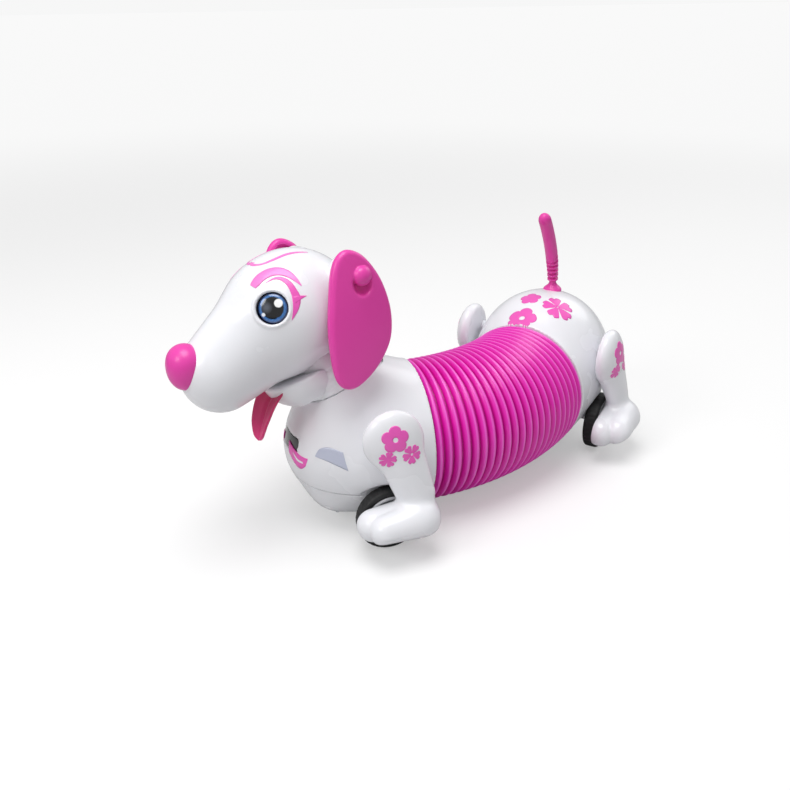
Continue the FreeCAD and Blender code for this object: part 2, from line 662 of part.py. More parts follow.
def rump_volume(name, inset):
    half = tuple(f"dims.rump_half_{way} - {inset}" for way in ("length", "width", "height"))
    ball = ellipsoid(name + "_ball", half, ("0", "0", "dims.rump_z"))
    rim = cylinder(name + "_rim", f"dims.hose_radius - {inset}", f"dims.rump_ring_front + {inset}",
                   ("0", "0", "dims.hose_height"), "X")
    floor = box(name + "_floor", ("200", "200", "100"), ("-100", "-100", f"dims.rump_bottom + {inset}"))
    limit = box(name + "_limit", ("200", "200", "200"),
                (f"dims.rump_ring_front + {inset} - 200", "-100", "-40"))
    trimmed = common(name + "_trimmed", fuse(name + "_whole", ball, rim), floor)
    return common(name, trimmed, limit)


def rump_shells():
    outer = rump_volume("rump_outer", 0)
    hollow = cut("rump_hollow", rump_volume("rump_inner", dim("wall")), *arches("rump_arch_lining", 2))
    carved = cut("rump_carved", outer, hollow, *arches("rump_arch", 0))
    bosses = []
    bores = []
    for name, side in SIDES.items():
        axis = "Y" if side > 0 else "-Y"
        bosses.append(shoulder_boss(f"rump_shoulder_{name}", side))
        bosses.append(cylinder(
            f"rump_stub_boss_{name}", "dims.axle_radius + 3", "dims.arch_face - dims.stub_inner_face + 1",
            ("0", f"{side} * (dims.stub_inner_face - 2)", "dims.wheel_radius"), axis))
        bores.append(cylinder(
            f"rump_stub_bore_{name}", "dims.axle_radius", "20",
            ("0", f"{side} * dims.stub_inner_face", "dims.wheel_radius"), axis))
        bores.append(cylinder(
            f"rump_peg_bore_{name}", "dims.leg_peg + dims.running_gap", "20",
            ("dims.shoulder_x", f"{side} * 34", "dims.shoulder_z"), axis))
    tail_hole = cylinder("rump_tail_hole", "3", "20", ("dims.tail_x", "0", "dims.tail_z - 14"))
    door_hole = box("rump_door_hole", ("44", "50", "6"), ("-28", "-25", "dims.rump_bottom - 2"))
    switch_hole = box("rump_switch_hole", ("7", "12", "6"), ("22", "-6", "dims.rump_bottom - 2"))
    bossed = fuse("rump_bossed", carved, *bosses)
    shell = cut("rump_bored", bossed, tail_hole, door_hole, switch_hole, *bores)
    upper = split_block("rump_upper_side", "dims.seam_height", "200")
    lower = split_block("rump_lower_side", "-60", "dims.seam_height + 60")
    add_node(common("rump_upper_shell", shell, upper), "rump_upper_shell", REAR)
    add_node(common("rump_lower_shell", shell, lower), "rump_lower_shell", REAR)


def battery_parts():
    """Door with its screw, and the box of three cells that stands above the rear axles."""
    door = box("battery_door_plate", ("43.4", "49.4", "2"), ("-27.7", "-24.7", "dims.rump_bottom"))
    hole_at = ("12", "0", "dims.rump_bottom - 2")
    screw_hole = cylinder("battery_door_hole", "dims.screw_radius", "10", hole_at)
    add_node(cut("battery_door", door, screw_hole), "battery_door", REAR)
    screw = cylinder("door_screw_shank", "dims.screw_radius", "7", ("12", "0", "dims.rump_bottom"))
    slot = box("door_screw_slot", ("4", "0.5", "0.8"), ("10", "-0.25", "dims.rump_bottom"))
    add_node(cut("door_screw", screw, slot), "door_screw", REAR)
    tray = box(
        "battery_box_outside", ("2 * dims.box_half_length", "2 * dims.box_half_width", "dims.box_height"),
        ("-dims.box_half_length", "-dims.box_half_width", "dims.box_bottom"),
    )
    room = box(
        "battery_box_room",
        ("2 * (dims.box_half_length - dims.box_wall)", "2 * (dims.box_half_width - dims.box_wall)",
         "dims.box_height - dims.box_wall"),
        ("dims.box_wall - dims.box_half_length", "dims.box_wall - dims.box_half_width", "dims.box_bottom"),
    )
    add_node(cut("battery_box", tray, room), "battery_box", REAR)
    cells = [
        cylinder(f"cell_{row + 2}", "dims.cell_radius", "dims.cell_length",
                 (f"{row} * dims.cell_pitch", "-dims.cell_length / 2", "dims.cell_height"), "Y")
        for row in (-1, 0, 1)
    ]
    add_node(fuse("batteries", *cells), "batteries", REAR)
    contacts = [
        box(f"contact_{name}", ("44", "0.8", "10"),
            ("-22", f"{side} * (dims.cell_length / 2 + 1) - 0.4", "dims.cell_height - 5"))
        for name, side in SIDES.items()
    ]
    add_node(fuse("battery_contacts", *contacts), "battery_contacts", REAR)


def switch_and_axles():
    """The sliding power switch under the rump, and the two stub axles the rear wheels turn on."""
    stem = box("switch_stem", ("5", "5", "4"), ("23", "-4.5", "dims.rump_bottom - 1"))
    slider_at = ("20.5", "-6.5", "dims.rump_bottom + dims.wall + 0.2")
    slider = box("switch_slider", ("10", "9", "1.5"), slider_at)
    add_node(fuse("power_switch_knob", stem, slider), "power_switch_knob", REAR)
    reach = "dims.wheel_inner_face + dims.wheel_width - 0.5 - dims.stub_inner_face"
    stubs = [
        cylinder(f"stub_axle_{name}", "dims.axle_radius", reach,
                 ("0", f"{side} * dims.stub_inner_face", "dims.wheel_radius"), "Y" if side > 0 else "-Y")
        for name, side in SIDES.items()
    ]
    add_node(fuse("rear_axle", *stubs), "rear_axle", REAR)


def tail_point(share):
    """The tail's centre line in the rear frame: it leaves the rump straight up and curls forward."""
    rise = 62.0 * share
    return FreeCAD.Vector(dim("tail_x") + 30.0 * max(share, 0.0) ** 1.8, 0, dim("tail_z") + rise)


def tail_section(share, radius):
    direction = tail_point(share + 0.02) - tail_point(share - 0.02)
    return Part.Wire(Part.Circle(tail_point(share), direction, radius).toShape())


def tail():
    """A flared and ribbed root, and a smooth tip with a rounded end."""
    radius = dim("tail_radius")
    flare = Part.makeLoft(
        [tail_section(-0.10, radius + 5), tail_section(0.02, radius + 4), tail_section(0.07, radius + 0.5),
         tail_section(0.13, radius - 1)], True, True)
    core = Part.makeLoft([tail_section(0.13, radius - 2), tail_section(0.40, radius - 2)], True, True)
    ribs = [
        Part.makeLoft([tail_section(share, radius), tail_section(share + 0.02, radius)], True, True)
        for share in (0.16, 0.20, 0.24, 0.28, 0.32, 0.36)
    ]
    stem = formed("tail_stem", flare.multiFuse([core] + ribs).removeSplitter())
    half = tuple(f"dims.rump_half_{way} + 0.05" for way in ("length", "width", "height"))
    seated = cut("tail_seated", stem, ellipsoid("tail_seat", half, ("0", "0", "dims.rump_z")))
    peg = cylinder("tail_peg", "3 - dims.running_gap", "14", ("dims.tail_x", "0", "dims.tail_z - 8"))
    add_node(fuse("tail_root", seated, peg), "tail_root", REAR)
    tip = Part.makeLoft(
        [tail_section(share, size) for share, size in
         ((0.40, radius), (0.55, radius + 1), (0.75, radius + 1), (0.90, radius), (0.97, radius - 2))],
        True, False)
    add_node(formed("tail_tip", tip), "tail_tip", REAR)


def build():
    chest_shells()
    sensor_window()
    chest_electronics()
    for name, side in SIDES.items():
        drive_side(name, side)
        tyre(f"front_tyre_{name}", side, FRONT)
        hub(f"front_hub_{name}", side, FRONT, False)
        tyre(f"rear_tyre_{name}", side, REAR)
        hub(f"rear_hub_{name}", side, REAR, True)
        leg(f"front_leg_{name}", side, FRONT)
        leg(f"rear_leg_{name}", side, REAR)
    hose()
    front_ring = FreeCAD.Placement(FreeCAD.Vector(-dim("ring_back"), 0, 0), FreeCAD.Rotation())
    hose_ring("hose_ring_front", front_ring, "X", "-X", "0")
    rear_ring = REAR.multiply(
        FreeCAD.Placement(FreeCAD.Vector(dim("rump_ring_front"), 0, 0), FreeCAD.Rotation()))
    hose_ring("hose_ring_rear", rear_ring, "-X", "X", "dims.rump_bottom + dims.wall + 0.1")
    hoops()
    cable()
    neck_collar()
    head_parts()
    nose()
    mouth_parts()
    eyes()
    ears()
    rump_shells()
    battery_parts()
    switch_and_axles()
    tail()


def check_document():
    """Stops before anything is written if a feature failed or a piece isn't one good shape."""
    for item in doc.Objects:
        if "Invalid" in item.State or "Error" in item.State:
            raise RuntimeError(f"{item.Name} failed: {item.State}")
    for item in nodes:
        if item.Shape.isNull() or not item.Shape.isValid():
            raise RuntimeError(f"{item.Label} has no valid shape")


def write_parts():
    os.makedirs("parts", exist_ok=True)
    for item in nodes:
        item.Shape.exportStep(os.path.join("parts", item.Label + ".step"))


build()
doc.recompute()
check_document()
write_parts()
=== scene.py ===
import json
import math

import bpy
import numpy as np
from mathutils import Matrix, Vector


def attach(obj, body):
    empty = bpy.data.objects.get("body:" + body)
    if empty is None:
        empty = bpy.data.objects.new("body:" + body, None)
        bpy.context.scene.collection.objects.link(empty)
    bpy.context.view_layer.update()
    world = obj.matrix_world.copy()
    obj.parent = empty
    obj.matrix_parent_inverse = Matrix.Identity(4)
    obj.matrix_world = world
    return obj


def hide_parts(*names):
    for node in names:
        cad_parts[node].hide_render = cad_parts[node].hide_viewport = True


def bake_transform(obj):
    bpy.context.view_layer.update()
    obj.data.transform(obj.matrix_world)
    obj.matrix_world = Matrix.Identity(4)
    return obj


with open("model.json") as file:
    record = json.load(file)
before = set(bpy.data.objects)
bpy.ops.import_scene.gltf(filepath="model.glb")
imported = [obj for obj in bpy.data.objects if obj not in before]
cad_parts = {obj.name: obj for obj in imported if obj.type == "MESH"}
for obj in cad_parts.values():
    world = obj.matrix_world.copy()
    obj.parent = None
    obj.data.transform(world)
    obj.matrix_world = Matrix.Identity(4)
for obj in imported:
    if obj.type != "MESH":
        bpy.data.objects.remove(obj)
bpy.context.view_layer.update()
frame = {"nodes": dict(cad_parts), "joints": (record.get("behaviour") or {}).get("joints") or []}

MM = 0.001  # every local size below is in millimetres
JOINTS = {joint["name"]: joint for joint in frame["joints"]}
SIDES = {"left": 1, "right": -1}
GRID = 1.0  # spacing of the grid that the moulded shells are drawn on


# --- frames: the front half, the turned head and the rear half each have their own ---

def unit(vector):
    vector = np.asarray(vector, float)
    return vector / np.linalg.norm(vector)


def joint_point(name):
    return np.array(JOINTS[name]["pos_m"]) / MM


def joint_axis(name):
    return unit(JOINTS[name]["axis"])


class Space:
    """A local frame in millimetres: columns of turn are its axes, and origin is its zero."""

    def __init__(self, turn, origin):
        self.turn = np.array(turn, float)
        self.origin = np.array(origin, float)

    def place(self, points):
        return (np.asarray(points, float) @ self.turn.T + self.origin) * MM

    def aim(self, vectors):
        return np.asarray(vectors, float) @ self.turn.T

    def local(self, point):
        return (np.asarray(point, float) - self.origin) @ self.turn


NECK_LEAN = math.radians(30)


def head_space():
    """The head's frame before its turn, carried to where the neck joint holds it at rest."""
    neck = joint_axis("neck_turn")
    side = joint_axis("head_nod")
    across = np.cross(side, neck)
    ahead = across * math.cos(NECK_LEAN) + neck * math.sin(NECK_LEAN)
    up = neck * math.cos(NECK_LEAN) - across * math.sin(NECK_LEAN)
    turn = np.column_stack([ahead, side, up])
    pivot = joint_point("neck_turn")
    return Space(turn, pivot - turn @ pivot)


def rear_space():
    side = joint_axis("wheel_rear_left_spin")
    turn = np.column_stack([np.cross(side, (0, 0, 1)), side, (0, 0, 1)])
    middle = (joint_point("wheel_rear_left_spin") + joint_point("wheel_rear_right_spin")) / 2
    return Space(turn, middle * (1, 1, 0))


FRONT = Space(np.eye(3), (0, 0, 0))
HEAD = head_space()
REAR = rear_space()


# --- distance fields: negative inside, millimetres ---

def length(vectors):
    return np.sqrt((vectors * vectors).sum(-1))


def ellipsoid(p, centre, half, turn=None):
    q = p - np.asarray(centre, float)
    if turn is not None:
        q = q @ turn
    half = np.asarray(half, float)
    near = length(q / half)
    slope = length(q / half ** 2) + 1e-9
    return near * (near - 1) / slope


def capsule(p, start, end, radius_start, radius_end):
    """A cone between two points with round ends of two radii."""
    start, end = np.asarray(start, float), np.asarray(end, float)
    along = end - start
    reach = along @ along
    drop = radius_start - radius_end
    room = reach - drop * drop
    q = p - start
    y = q @ along
    z = y - reach
    off = q * reach - y[..., None] * along
    x2 = (off * off).sum(-1)
    k = np.sign(drop) * drop * drop * x2
    y2, z2 = y * y * reach, z * z * reach
    side = (np.sqrt(x2 * room / reach) + y * drop) / reach - radius_start
    at_end = np.sqrt(x2 + z2) / reach - radius_end
    at_start = np.sqrt(x2 + y2) / reach - radius_start
    return np.where(np.sign(z) * room * z2 > k, at_end, np.where(np.sign(y) * room * y2 < k, at_start, side))


def rounded_box(p, centre, half, radius, turn=None):
    q = p - np.asarray(centre, float)
    if turn is not None:
        q = q @ turn
    q = np.abs(q) - (np.asarray(half, float) - radius)
    return length(np.maximum(q, 0)) + np.minimum(q.max(-1), 0) - radius


def rod(p, start, end, radius, edge=0.5):
    """A cylinder between two points with softly rounded rims."""
    start, end = np.asarray(start, float), np.asarray(end, float)
    axis = unit(end - start)
    q = p - (start + end) / 2
    along = q @ axis
    around = length(q - along[..., None] * axis)
    flat = np.stack([around - radius + edge, np.abs(along) - np.linalg.norm(end - start) / 2 + edge], -1)
    return length(np.maximum(flat, 0)) + np.minimum(flat.max(-1), 0) - edge


def beyond(p, point, normal):
    """Distance past a plane, positive on the side its normal points to."""
    return (p - np.asarray(point, float)) @ unit(normal)


def join(a, b, soft):
    h = np.clip(0.5 + 0.5 * (b - a) / soft, 0, 1)
    return b * (1 - h) + a * h - soft * h * (1 - h)


def meet(a, b, soft):
    return -join(-a, -b, soft)


def carve(a, b, soft):
    return -join(-a, b, soft)


# --- meshes from fields ---

def slopes(field, points, reach=0.05):
    made = []
    for axis in range(3):
        nudge = np.zeros(3)
        nudge[axis] = reach
        made.append(field(points + nudge) - field(points - nudge))
    return np.stack(made, -1) / (2 * reach)


def settle(field, points, step, rounds=3):
    """Moves points onto the field's surface, never further than one grid step."""
    start = points
    for _ in range(rounds):
        here = field(points)
        slope = np.stack([(field(points + nudge) - here) / 0.05 for nudge in 0.05 * np.eye(3)], -1)
        move = -here[:, None] * slope / np.maximum((slope * slope).sum(-1), 0.2)[:, None]
        points = points + move
        drift = points - start
        points = start + drift * np.minimum(1, step / np.maximum(length(drift), 1e-9))[:, None]
    return points


def sampled(field, low, blocks, step):
    """The field on a grid, worked out closely only in the blocks of 4 x 4 x 4 cells near its surface."""
    corners = np.stack(np.meshgrid(*[np.arange(count) for count in blocks], indexing="ij"), -1).reshape(-1, 3)
    middle = field(low + step * (4 * corners + 2))
    coarse = middle.reshape(blocks)
    for axis in range(3):
        coarse = coarse.repeat(4, axis)
    values = np.pad(coarse, ((0, 1),) * 3, mode="edge")
    near = 4 * corners[np.abs(middle) < 6 * step]
    close = np.zeros(values.shape, bool)
    for offset in np.ndindex(5, 5, 5):
        close[tuple((near + offset).T)] = True
    values[close] = field(low + step * np.argwhere(close))
    return values


def surface(field, low, high, step=None):
    """Vertices and four-sided faces of the field's zero surface, on a grid from low to high."""
    step = step or GRID
    low = np.asarray(low, float)
    blocks = np.ceil((np.asarray(high, float) - low) / step / 4).astype(int)
    values = sampled(field, low, blocks, step)
    counts = 4 * blocks + 1
    cells = counts - 1
    sums = np.zeros((int(np.prod(cells)), 3))
    hits = np.zeros(int(np.prod(cells)))
    quads = []
    for axis in range(3):
        near = np.take(values, range(counts[axis] - 1), axis)
        far = np.take(values, range(1, counts[axis]), axis)
        edges = np.argwhere((near < 0) != (far < 0))
        picked = tuple(edges.T)
        share = near[picked] / (near[picked] - far[picked])
        spots = edges.astype(float)
        spots[:, axis] += share
        second, third = (axis + 1) % 3, (axis + 2) % 3
        around = []
        for back_second, back_third in ((1, 1), (0, 1), (0, 0), (1, 0)):
            cell = edges.copy()
            cell[:, second] -= back_second
            cell[:, third] -= back_third
            good = ((cell >= 0) & (cell < cells)).all(1)
            index = np.where(good, np.ravel_multi_index(tuple(np.clip(cell, 0, cells - 1).T), cells), -1)
            np.add.at(sums, index[good], spots[good])
            np.add.at(hits, index[good], 1)
            around.append(index)
        faces = np.stack(around, 1)
        inward = (near[picked] >= 0)[:, None]
        quads.append(np.where(inward, faces[:, ::-1], faces)[(faces >= 0).all(1)])
    used = np.flatnonzero(hits)
    renumber = np.full(len(hits), -1)
    renumber[used] = np.arange(len(used))
    points = low + step * sums[used] / hits[used, None]
    return settle(field, points, step), renumber[np.concatenate(quads)]


def make_piece(name, points, faces, space, material, body=None, normals=None):
    """One mesh object in the row frame that rides on a body."""
    mesh = bpy.data.meshes.new(name)
    mesh.from_pydata(space.place(points).tolist(), [], [list(map(int, face)) for face in faces])
    mesh.polygons.foreach_set("use_smooth", [True] * len(mesh.polygons))
    if normals is not None:
        mesh.normals_split_custom_set_from_vertices(space.aim(normals).tolist())
    mesh.materials.append(material)
    mesh.update()
    made = bpy.data.objects.new(name, mesh)
    bpy.context.scene.collection.objects.link(made)
    if body:
        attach(made, body)
    return made


def stands_for(piece, slot, *nodes):
    """Hides these CAD nodes, which the piece shows in place of; piece and slot are not used."""
    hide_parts(*nodes)


def tag(piece, name, values):
    """Stores one number on each point of a piece, for its material to read."""
    attribute = piece.data.attributes.new(name, "FLOAT", "POINT")
    attribute.data.foreach_set("value", values.astype(np.float32))


def moulded(name, field, low, high, space, material, body, step=None):
    """A moulded piece drawn from its distance field, with true normals."""
    points, faces = surface(field, low, high, step)
    slope = slopes(field, points)
    normals = slope / np.maximum(length(slope), 1e-9)[:, None]
    return make_piece(name, points, faces, space, material, body, normals)


def round_angles(sectors):
    return 2 * np.pi * np.arange(sectors) / sectors


def grid_faces(rows, columns, closed_rows=False, closed_columns=False):
    faces = []
    for row in range(rows if closed_rows else rows - 1):
        for column in range(columns if closed_columns else columns - 1):
            a = row * columns + column
            b = row * columns + (column + 1) % columns
            c = ((row + 1) % rows) * columns + (column + 1) % columns
            d = ((row + 1) % rows) * columns + column
            faces.append((a, b, c, d))
    return faces


def lathe(profile, sectors=72):
    """Points and faces of a profile of (height, radius) pairs turned about Z; a radius of 0 closes an end."""
    rings = []
    for height, radius in profile:
        angle = round_angles(sectors)
        radius = max(radius, 1e-4)
        rings.append(np.stack([radius * np.cos(angle), radius * np.sin(angle), np.full(sectors, height)], 1))
    points = np.concatenate(rings)
    return points, grid_faces(len(profile), sectors, closed_columns=True)


def cast(field, starts, direction, rounds=70):
    """Marches from each start along the direction to the field's surface."""
    points = np.array(starts, float)
    for _ in range(rounds):
        points = points + np.clip(field(points), -4, 4)[:, None] * 0.8 * direction
    return points


def decal(name, grid, field, origin, across, up, space, material, body, side=1, lift=0.16, loop=False):
    """A thin printed patch. grid holds (across, up) millimetres round origin, laid on the surface.

    It is drawn for the left side; side -1 mirrors it to the right.
    """
    mirror = np.array((1, side, 1))
    across, up = unit(across), unit(up)
    outward = unit(np.cross(across, up))
    rows, columns = grid.shape[:2]
    flat = grid.reshape(-1, 2)
    starts = np.asarray(origin, float) + flat[:, :1] * across + flat[:, 1:] * up + 14 * outward

    def mirrored(p):
        return field(p * mirror)

    hits = cast(mirrored, starts, -outward)
    slope = slopes(mirrored, hits)
    normals = slope / length(slope)[:, None]
    points = np.concatenate([hits + normals * lift, hits - normals * 0.35]) * mirror
    faces = grid_faces(rows, columns, closed_columns=loop)
    shift = rows * columns
    faces += [tuple(index + shift for index in reversed(face)) for face in faces]
    lines = [(list(range(columns)), loop), (list(range(shift - columns, shift))[::-1], loop)]
    if not loop:
        lines += [(list(range(0, shift, columns))[::-1], False),
                  (list(range(columns - 1, shift, columns)), False)]
    for line, closed in lines:
        following = line[1:] + line[:1] if closed else line[1:]
        faces += [(b, a, a + shift, b + shift) for a, b in zip(line, following)]
    if side < 0:
        faces = [face[::-1] for face in faces]
    made = make_piece(name, points, faces, space, material, body)
    return made


def petal_grid(size, petals, hole=0.0, depth=0.30, spin=0.0, notch=0.0, rings=9, sectors=200):
    """A flower outline of round petals as a polar grid; hole opens the middle, notch parts the petals."""
    angle = round_angles(sectors)
    lobe = np.abs(np.cos(petals * (angle - spin) / 2))
    reach = size * (1 - depth + depth * lobe ** 0.55)
    if notch:
        between = np.abs(((petals * (angle - spin) / (2 * np.pi)) % 1) - 0.5)
        tip = 0.14 * np.exp(-((0.5 - between) / 0.09) ** 2)
        reach = reach * (1 - notch * np.exp(-(between / 0.07) ** 4) - tip)
        reach = np.maximum(reach, hole + 0.1)
    share = np.linspace(0, 1, rings)[:, None]
    radius = hole + (reach[None] - hole) * share
    radius = np.maximum(radius, 1e-3)
    return np.stack([radius * np.cos(angle), radius * np.sin(angle)], -1)


def smooth_line(knots, samples):
    """A smooth curve through the knots, evenly spaced in knot number."""
    knots = np.asarray(knots, float)
    spot = np.linspace(0, len(knots) - 1, samples)
    low = np.clip(np.floor(spot).astype(int), 0, len(knots) - 2)
    share = (spot - low)[:, None]
    before = knots[np.clip(low - 1, 0, None)]
    here, there = knots[low], knots[low + 1]
    after = knots[np.clip(low + 2, None, len(knots) - 1)]
    return 0.5 * (2 * here + (there - before) * share
                  + (2 * before - 5 * here + 4 * there - after) * share ** 2
                  + (3 * here - before - 3 * there + after) * share ** 3)


def ribbon_grid(knots, samples=48, columns=7):
    """A stroke through knots of (across, up, half width), as a grid along and across it."""
    line = smooth_line(knots, samples)
    path, half = line[:, :2], np.maximum(line[:, 2], 0.02)
    ahead = np.gradient(path, axis=0)
    ahead = ahead / length(ahead)[:, None]
    side = np.stack([-ahead[:, 1], ahead[:, 0]], 1)
    share = np.linspace(-1, 1, columns)
    return path[:, None] + side[:, None] * (half[:, None] * share)[..., None]


def band_grid(upper, lower, samples=40, rows=9):
    """The area between two smooth lines."""
    top, bottom = smooth_line(upper, samples), smooth_line(lower, samples)
    share = np.linspace(0, 1, rows)[:, None, None]
    return top[None] * (1 - share) + bottom[None] * share


# --- materials ---

def new_material(name):
    material = bpy.data.materials.new(name)
    material.use_nodes = True
    nodes = material.node_tree.nodes
    return material, nodes, nodes["Principled BSDF"]


def preset(node, inputs):
    for key, value in inputs.items():
        node.inputs[key].default_value = value


def add(nodes, kind, inputs=None, **values):
    """A new node; its properties are set before its inputs, as some properties change which inputs it has."""
    node = nodes.new("ShaderNode" + kind)
    for key, value in values.items():
        setattr(node, key, value)
    preset(node, inputs or {})
    return node


def wire(source, output, target, socket):
    source.id_data.links.new(source.outputs[output], target.inputs[socket])


def fine_bump(nodes, place, shader, scale, distance, strength=1.0, detail=2.0):
    """A fine grain in the surface; distance is its depth in millimetres."""
    grain = add(nodes, "TexNoise", {"Scale": scale, "Detail": detail})
    bump = add(nodes, "Bump", {"Strength": strength, "Distance": distance * MM})
    wire(place, "Object", grain, "Vector")
    wire(grain, "Fac", bump, "Height")
    wire(bump, "Normal", shader, "Normal")


def colour_ramp(nodes, source, stops):
    """Colours at places along a ramp driven by a node's number."""
    ramp = add(nodes, "ValToRGB")
    elements = ramp.color_ramp.elements
    elements[0].color, elements[1].color = stops[0][1], stops[-1][1]
    for place, colour in stops[1:-1]:
        elements.new(place).color = colour
    wire(source, "Fac", ramp, "Fac")
    return ramp


def linear(red, green, blue):
    """A display colour in 0..255 as the linear colour a shader wants."""
    return tuple(((c / 255 + 0.055) / 1.055) ** 2.4 if c > 10 else c / 255 / 12.92
                 for c in (red, green, blue)) + (1,)


def plastic(name, colour, shade, roughness, coat=0.0, grain=0.004, grain_scale=900, mottle=14, soft=0.0):
    """Moulded plastic: a faint cloudiness in colour, uneven gloss and the fine grain of the mould."""
    material, nodes, shader = new_material(name)
    place = add(nodes, "TexCoord")
    cloud = add(nodes, "TexNoise", {"Scale": mottle, "Detail": 4})
    mix = add(nodes, "Mix", {"A": colour, "B": shade}, data_type="RGBA")
    wire(place, "Object", cloud, "Vector")
    wire(cloud, "Fac", mix, "Factor")
    wire(mix, "Result", shader, "Base Color")
    gloss = add(nodes, "MapRange", {"To Min": roughness * 0.85, "To Max": roughness * 1.2})
    wire(cloud, "Fac", gloss, "Value")
    wire(gloss, "Result", shader, "Roughness")
    fine_bump(nodes, place, shader, grain_scale, grain, 0.25, 3)
    preset(shader, {"Coat Weight": coat, "Coat Roughness": 0.08, "Subsurface Weight": soft,
                    "Subsurface Radius": (0.004, 0.003, 0.003), "Subsurface Scale": 0.5})
    return material


def metal(name, colour, roughness):
    """Plated or drawn metal with faint lengthwise brushing."""
    material, nodes, shader = new_material(name)
    place = add(nodes, "TexCoord")
    stretch = add(nodes, "Mapping", {"Scale": (200, 3000, 200)})
    streak = add(nodes, "TexNoise", {"Scale": 1.0})
    ramp = add(nodes, "MapRange", {"To Min": roughness * 0.7, "To Max": roughness * 1.4})
    wire(place, "Object", stretch, "Vector")
    wire(stretch, "Vector", streak, "Vector")
    wire(streak, "Fac", ramp, "Value")
    wire(ramp, "Result", shader, "Roughness")
    preset(shader, {"Base Color": colour, "Metallic": 1.0})
    return material


def hose_material():
    """The hose: painted highlight lightens the crests and painted shade darkens the valleys, and a glossy
    skin.
    """
    material, nodes, shader = new_material("hose_gloss")
    fold = add(nodes, "Attribute", attribute_name="fold", attribute_type="GEOMETRY")
    # fold is 0 in a valley and 1 on a crest: the ramp paints shade into the valleys and a highlight line
    # along the crests
    ramp = colour_ramp(nodes, fold, [(0, linear(176, 0, 122)), (0.5, linear(224, 12, 168)),
                                     (0.9, linear(232, 34, 184)), (1, linear(246, 100, 212))])
    place = add(nodes, "TexCoord")
    cloud = add(nodes, "TexNoise", {"Scale": 160})
    mix = add(nodes, "Mix", {"Factor": 0.04}, data_type="RGBA", blend_type="MULTIPLY")
    wire(place, "Object", cloud, "Vector")
    wire(ramp, "Color", mix, "A")
    wire(cloud, "Color", mix, "B")
    wire(mix, "Result", shader, "Base Color")
    gloss = add(nodes, "MapRange", {"To Min": 0.31, "To Max": 0.35})
    wire(cloud, "Fac", gloss, "Value")
    wire(gloss, "Result", shader, "Roughness")
    shader.inputs["Coat Weight"].default_value = 0.15
    return material


def rubber_material():
    material, nodes, shader = new_material("tyre_black")
    place = add(nodes, "TexCoord")
    dust = add(nodes, "TexNoise", {"Scale": 90})
    wire(place, "Object", dust, "Vector")
    ramp = colour_ramp(nodes, dust, [(0, linear(10, 10, 11)), (1, linear(34, 34, 35))])
    wire(ramp, "Color", shader, "Base Color")
    fine_bump(nodes, place, shader, 1500, 0.03)
    preset(shader, {"Roughness": 0.55})
    return material


def tongue_material():
    """Painted shade: deep crimson at the root inside the mouth, brighter pink towards the tip."""
    material, nodes, shader = new_material("tongue_satin")
    # depth runs from the root, in the shade of the mouth, to the tip: the ramp paints that shade into the
    # root
    depth = add(nodes, "Attribute", attribute_name="depth", attribute_type="GEOMETRY")
    ramp = colour_ramp(nodes, depth, [(0, linear(176, 0, 56)), (1, linear(244, 64, 142))])
    wire(ramp, "Color", shader, "Base Color")
    fine_bump(nodes, add(nodes, "TexCoord"), shader, 700, 0.02)
    preset(shader, {"Roughness": 0.38, "Subsurface Weight": 0.1,
                    "Subsurface Radius": (0.004, 0.001, 0.002), "Subsurface Scale": 0.4})
    return material


WHITE = plastic("white_gloss", linear(240, 240, 244), linear(234, 235, 240), 0.26, coat=0.25, soft=0.04)
PINK = plastic("pink_satin", linear(236, 72, 176), linear(228, 58, 164), 0.36, coat=0.08, grain=0.02,
               soft=0.05)
PRINT = plastic("pink_print", linear(240, 96, 192), linear(234, 84, 182), 0.30, coat=0.2)
PRINT_LIGHT = plastic("light_pink_print", linear(246, 132, 210), linear(242, 120, 202), 0.30, coat=0.2)
PRINT_GREY = plastic("grey_print", linear(196, 200, 218), linear(186, 191, 210), 0.28, coat=0.2)
BLACK = plastic("window_gloss", linear(16, 16, 19), linear(24, 24, 28), 0.12, coat=0.6)
HUB = plastic("hub_white", linear(226, 226, 230), linear(212, 213, 218), 0.32)
INNER = plastic("inner_grey", linear(92, 92, 98), linear(78, 78, 84), 0.5, grain=0.02)
NYLON = plastic("gear_nylon", linear(240, 238, 226), linear(228, 225, 212), 0.45, grain=0.01)
BOARD = plastic("board_green", linear(24, 110, 60), linear(16, 90, 48), 0.35)
CABLE = plastic("cable_black", linear(26, 26, 28), linear(36, 36, 38), 0.5)
STEEL = metal("plated_steel", linear(200, 200, 204), 0.28)
HOSE = hose_material()
RUBBER = rubber_material()
TONGUE = tongue_material()


# --- front half: chest, belly, wheels, legs ---

SEAM = 34.0  # height of the joint between upper and lower shells
SEAM_GAP = 0.12
WALL = 2.8
HOSE_REACH = 45.5  # outer radius of the hose and of the rims it meets
HOSE_HOLE = 42.3
AXLE = 20.0  # height of the wheels' axles
WHEEL_FACE, WHEEL_WIDTH = 42.0, 9.0
NECK_SEAM = 3.0  # how far above the joint's point the chest meets the neck
NECK = joint_point("neck_turn")
NECK_AXIS = joint_axis("neck_turn")


def leg_room(p):
    """The soft hollow in a body's side behind one leg; p has its Y made positive."""
    return capsule(p, (1, 70, 76), (-13, 75, 44), 27, 26)


def sides_folded(p):
    folded = p.copy()
    folded[..., 1] = np.abs(folded[..., 1])
    return folded


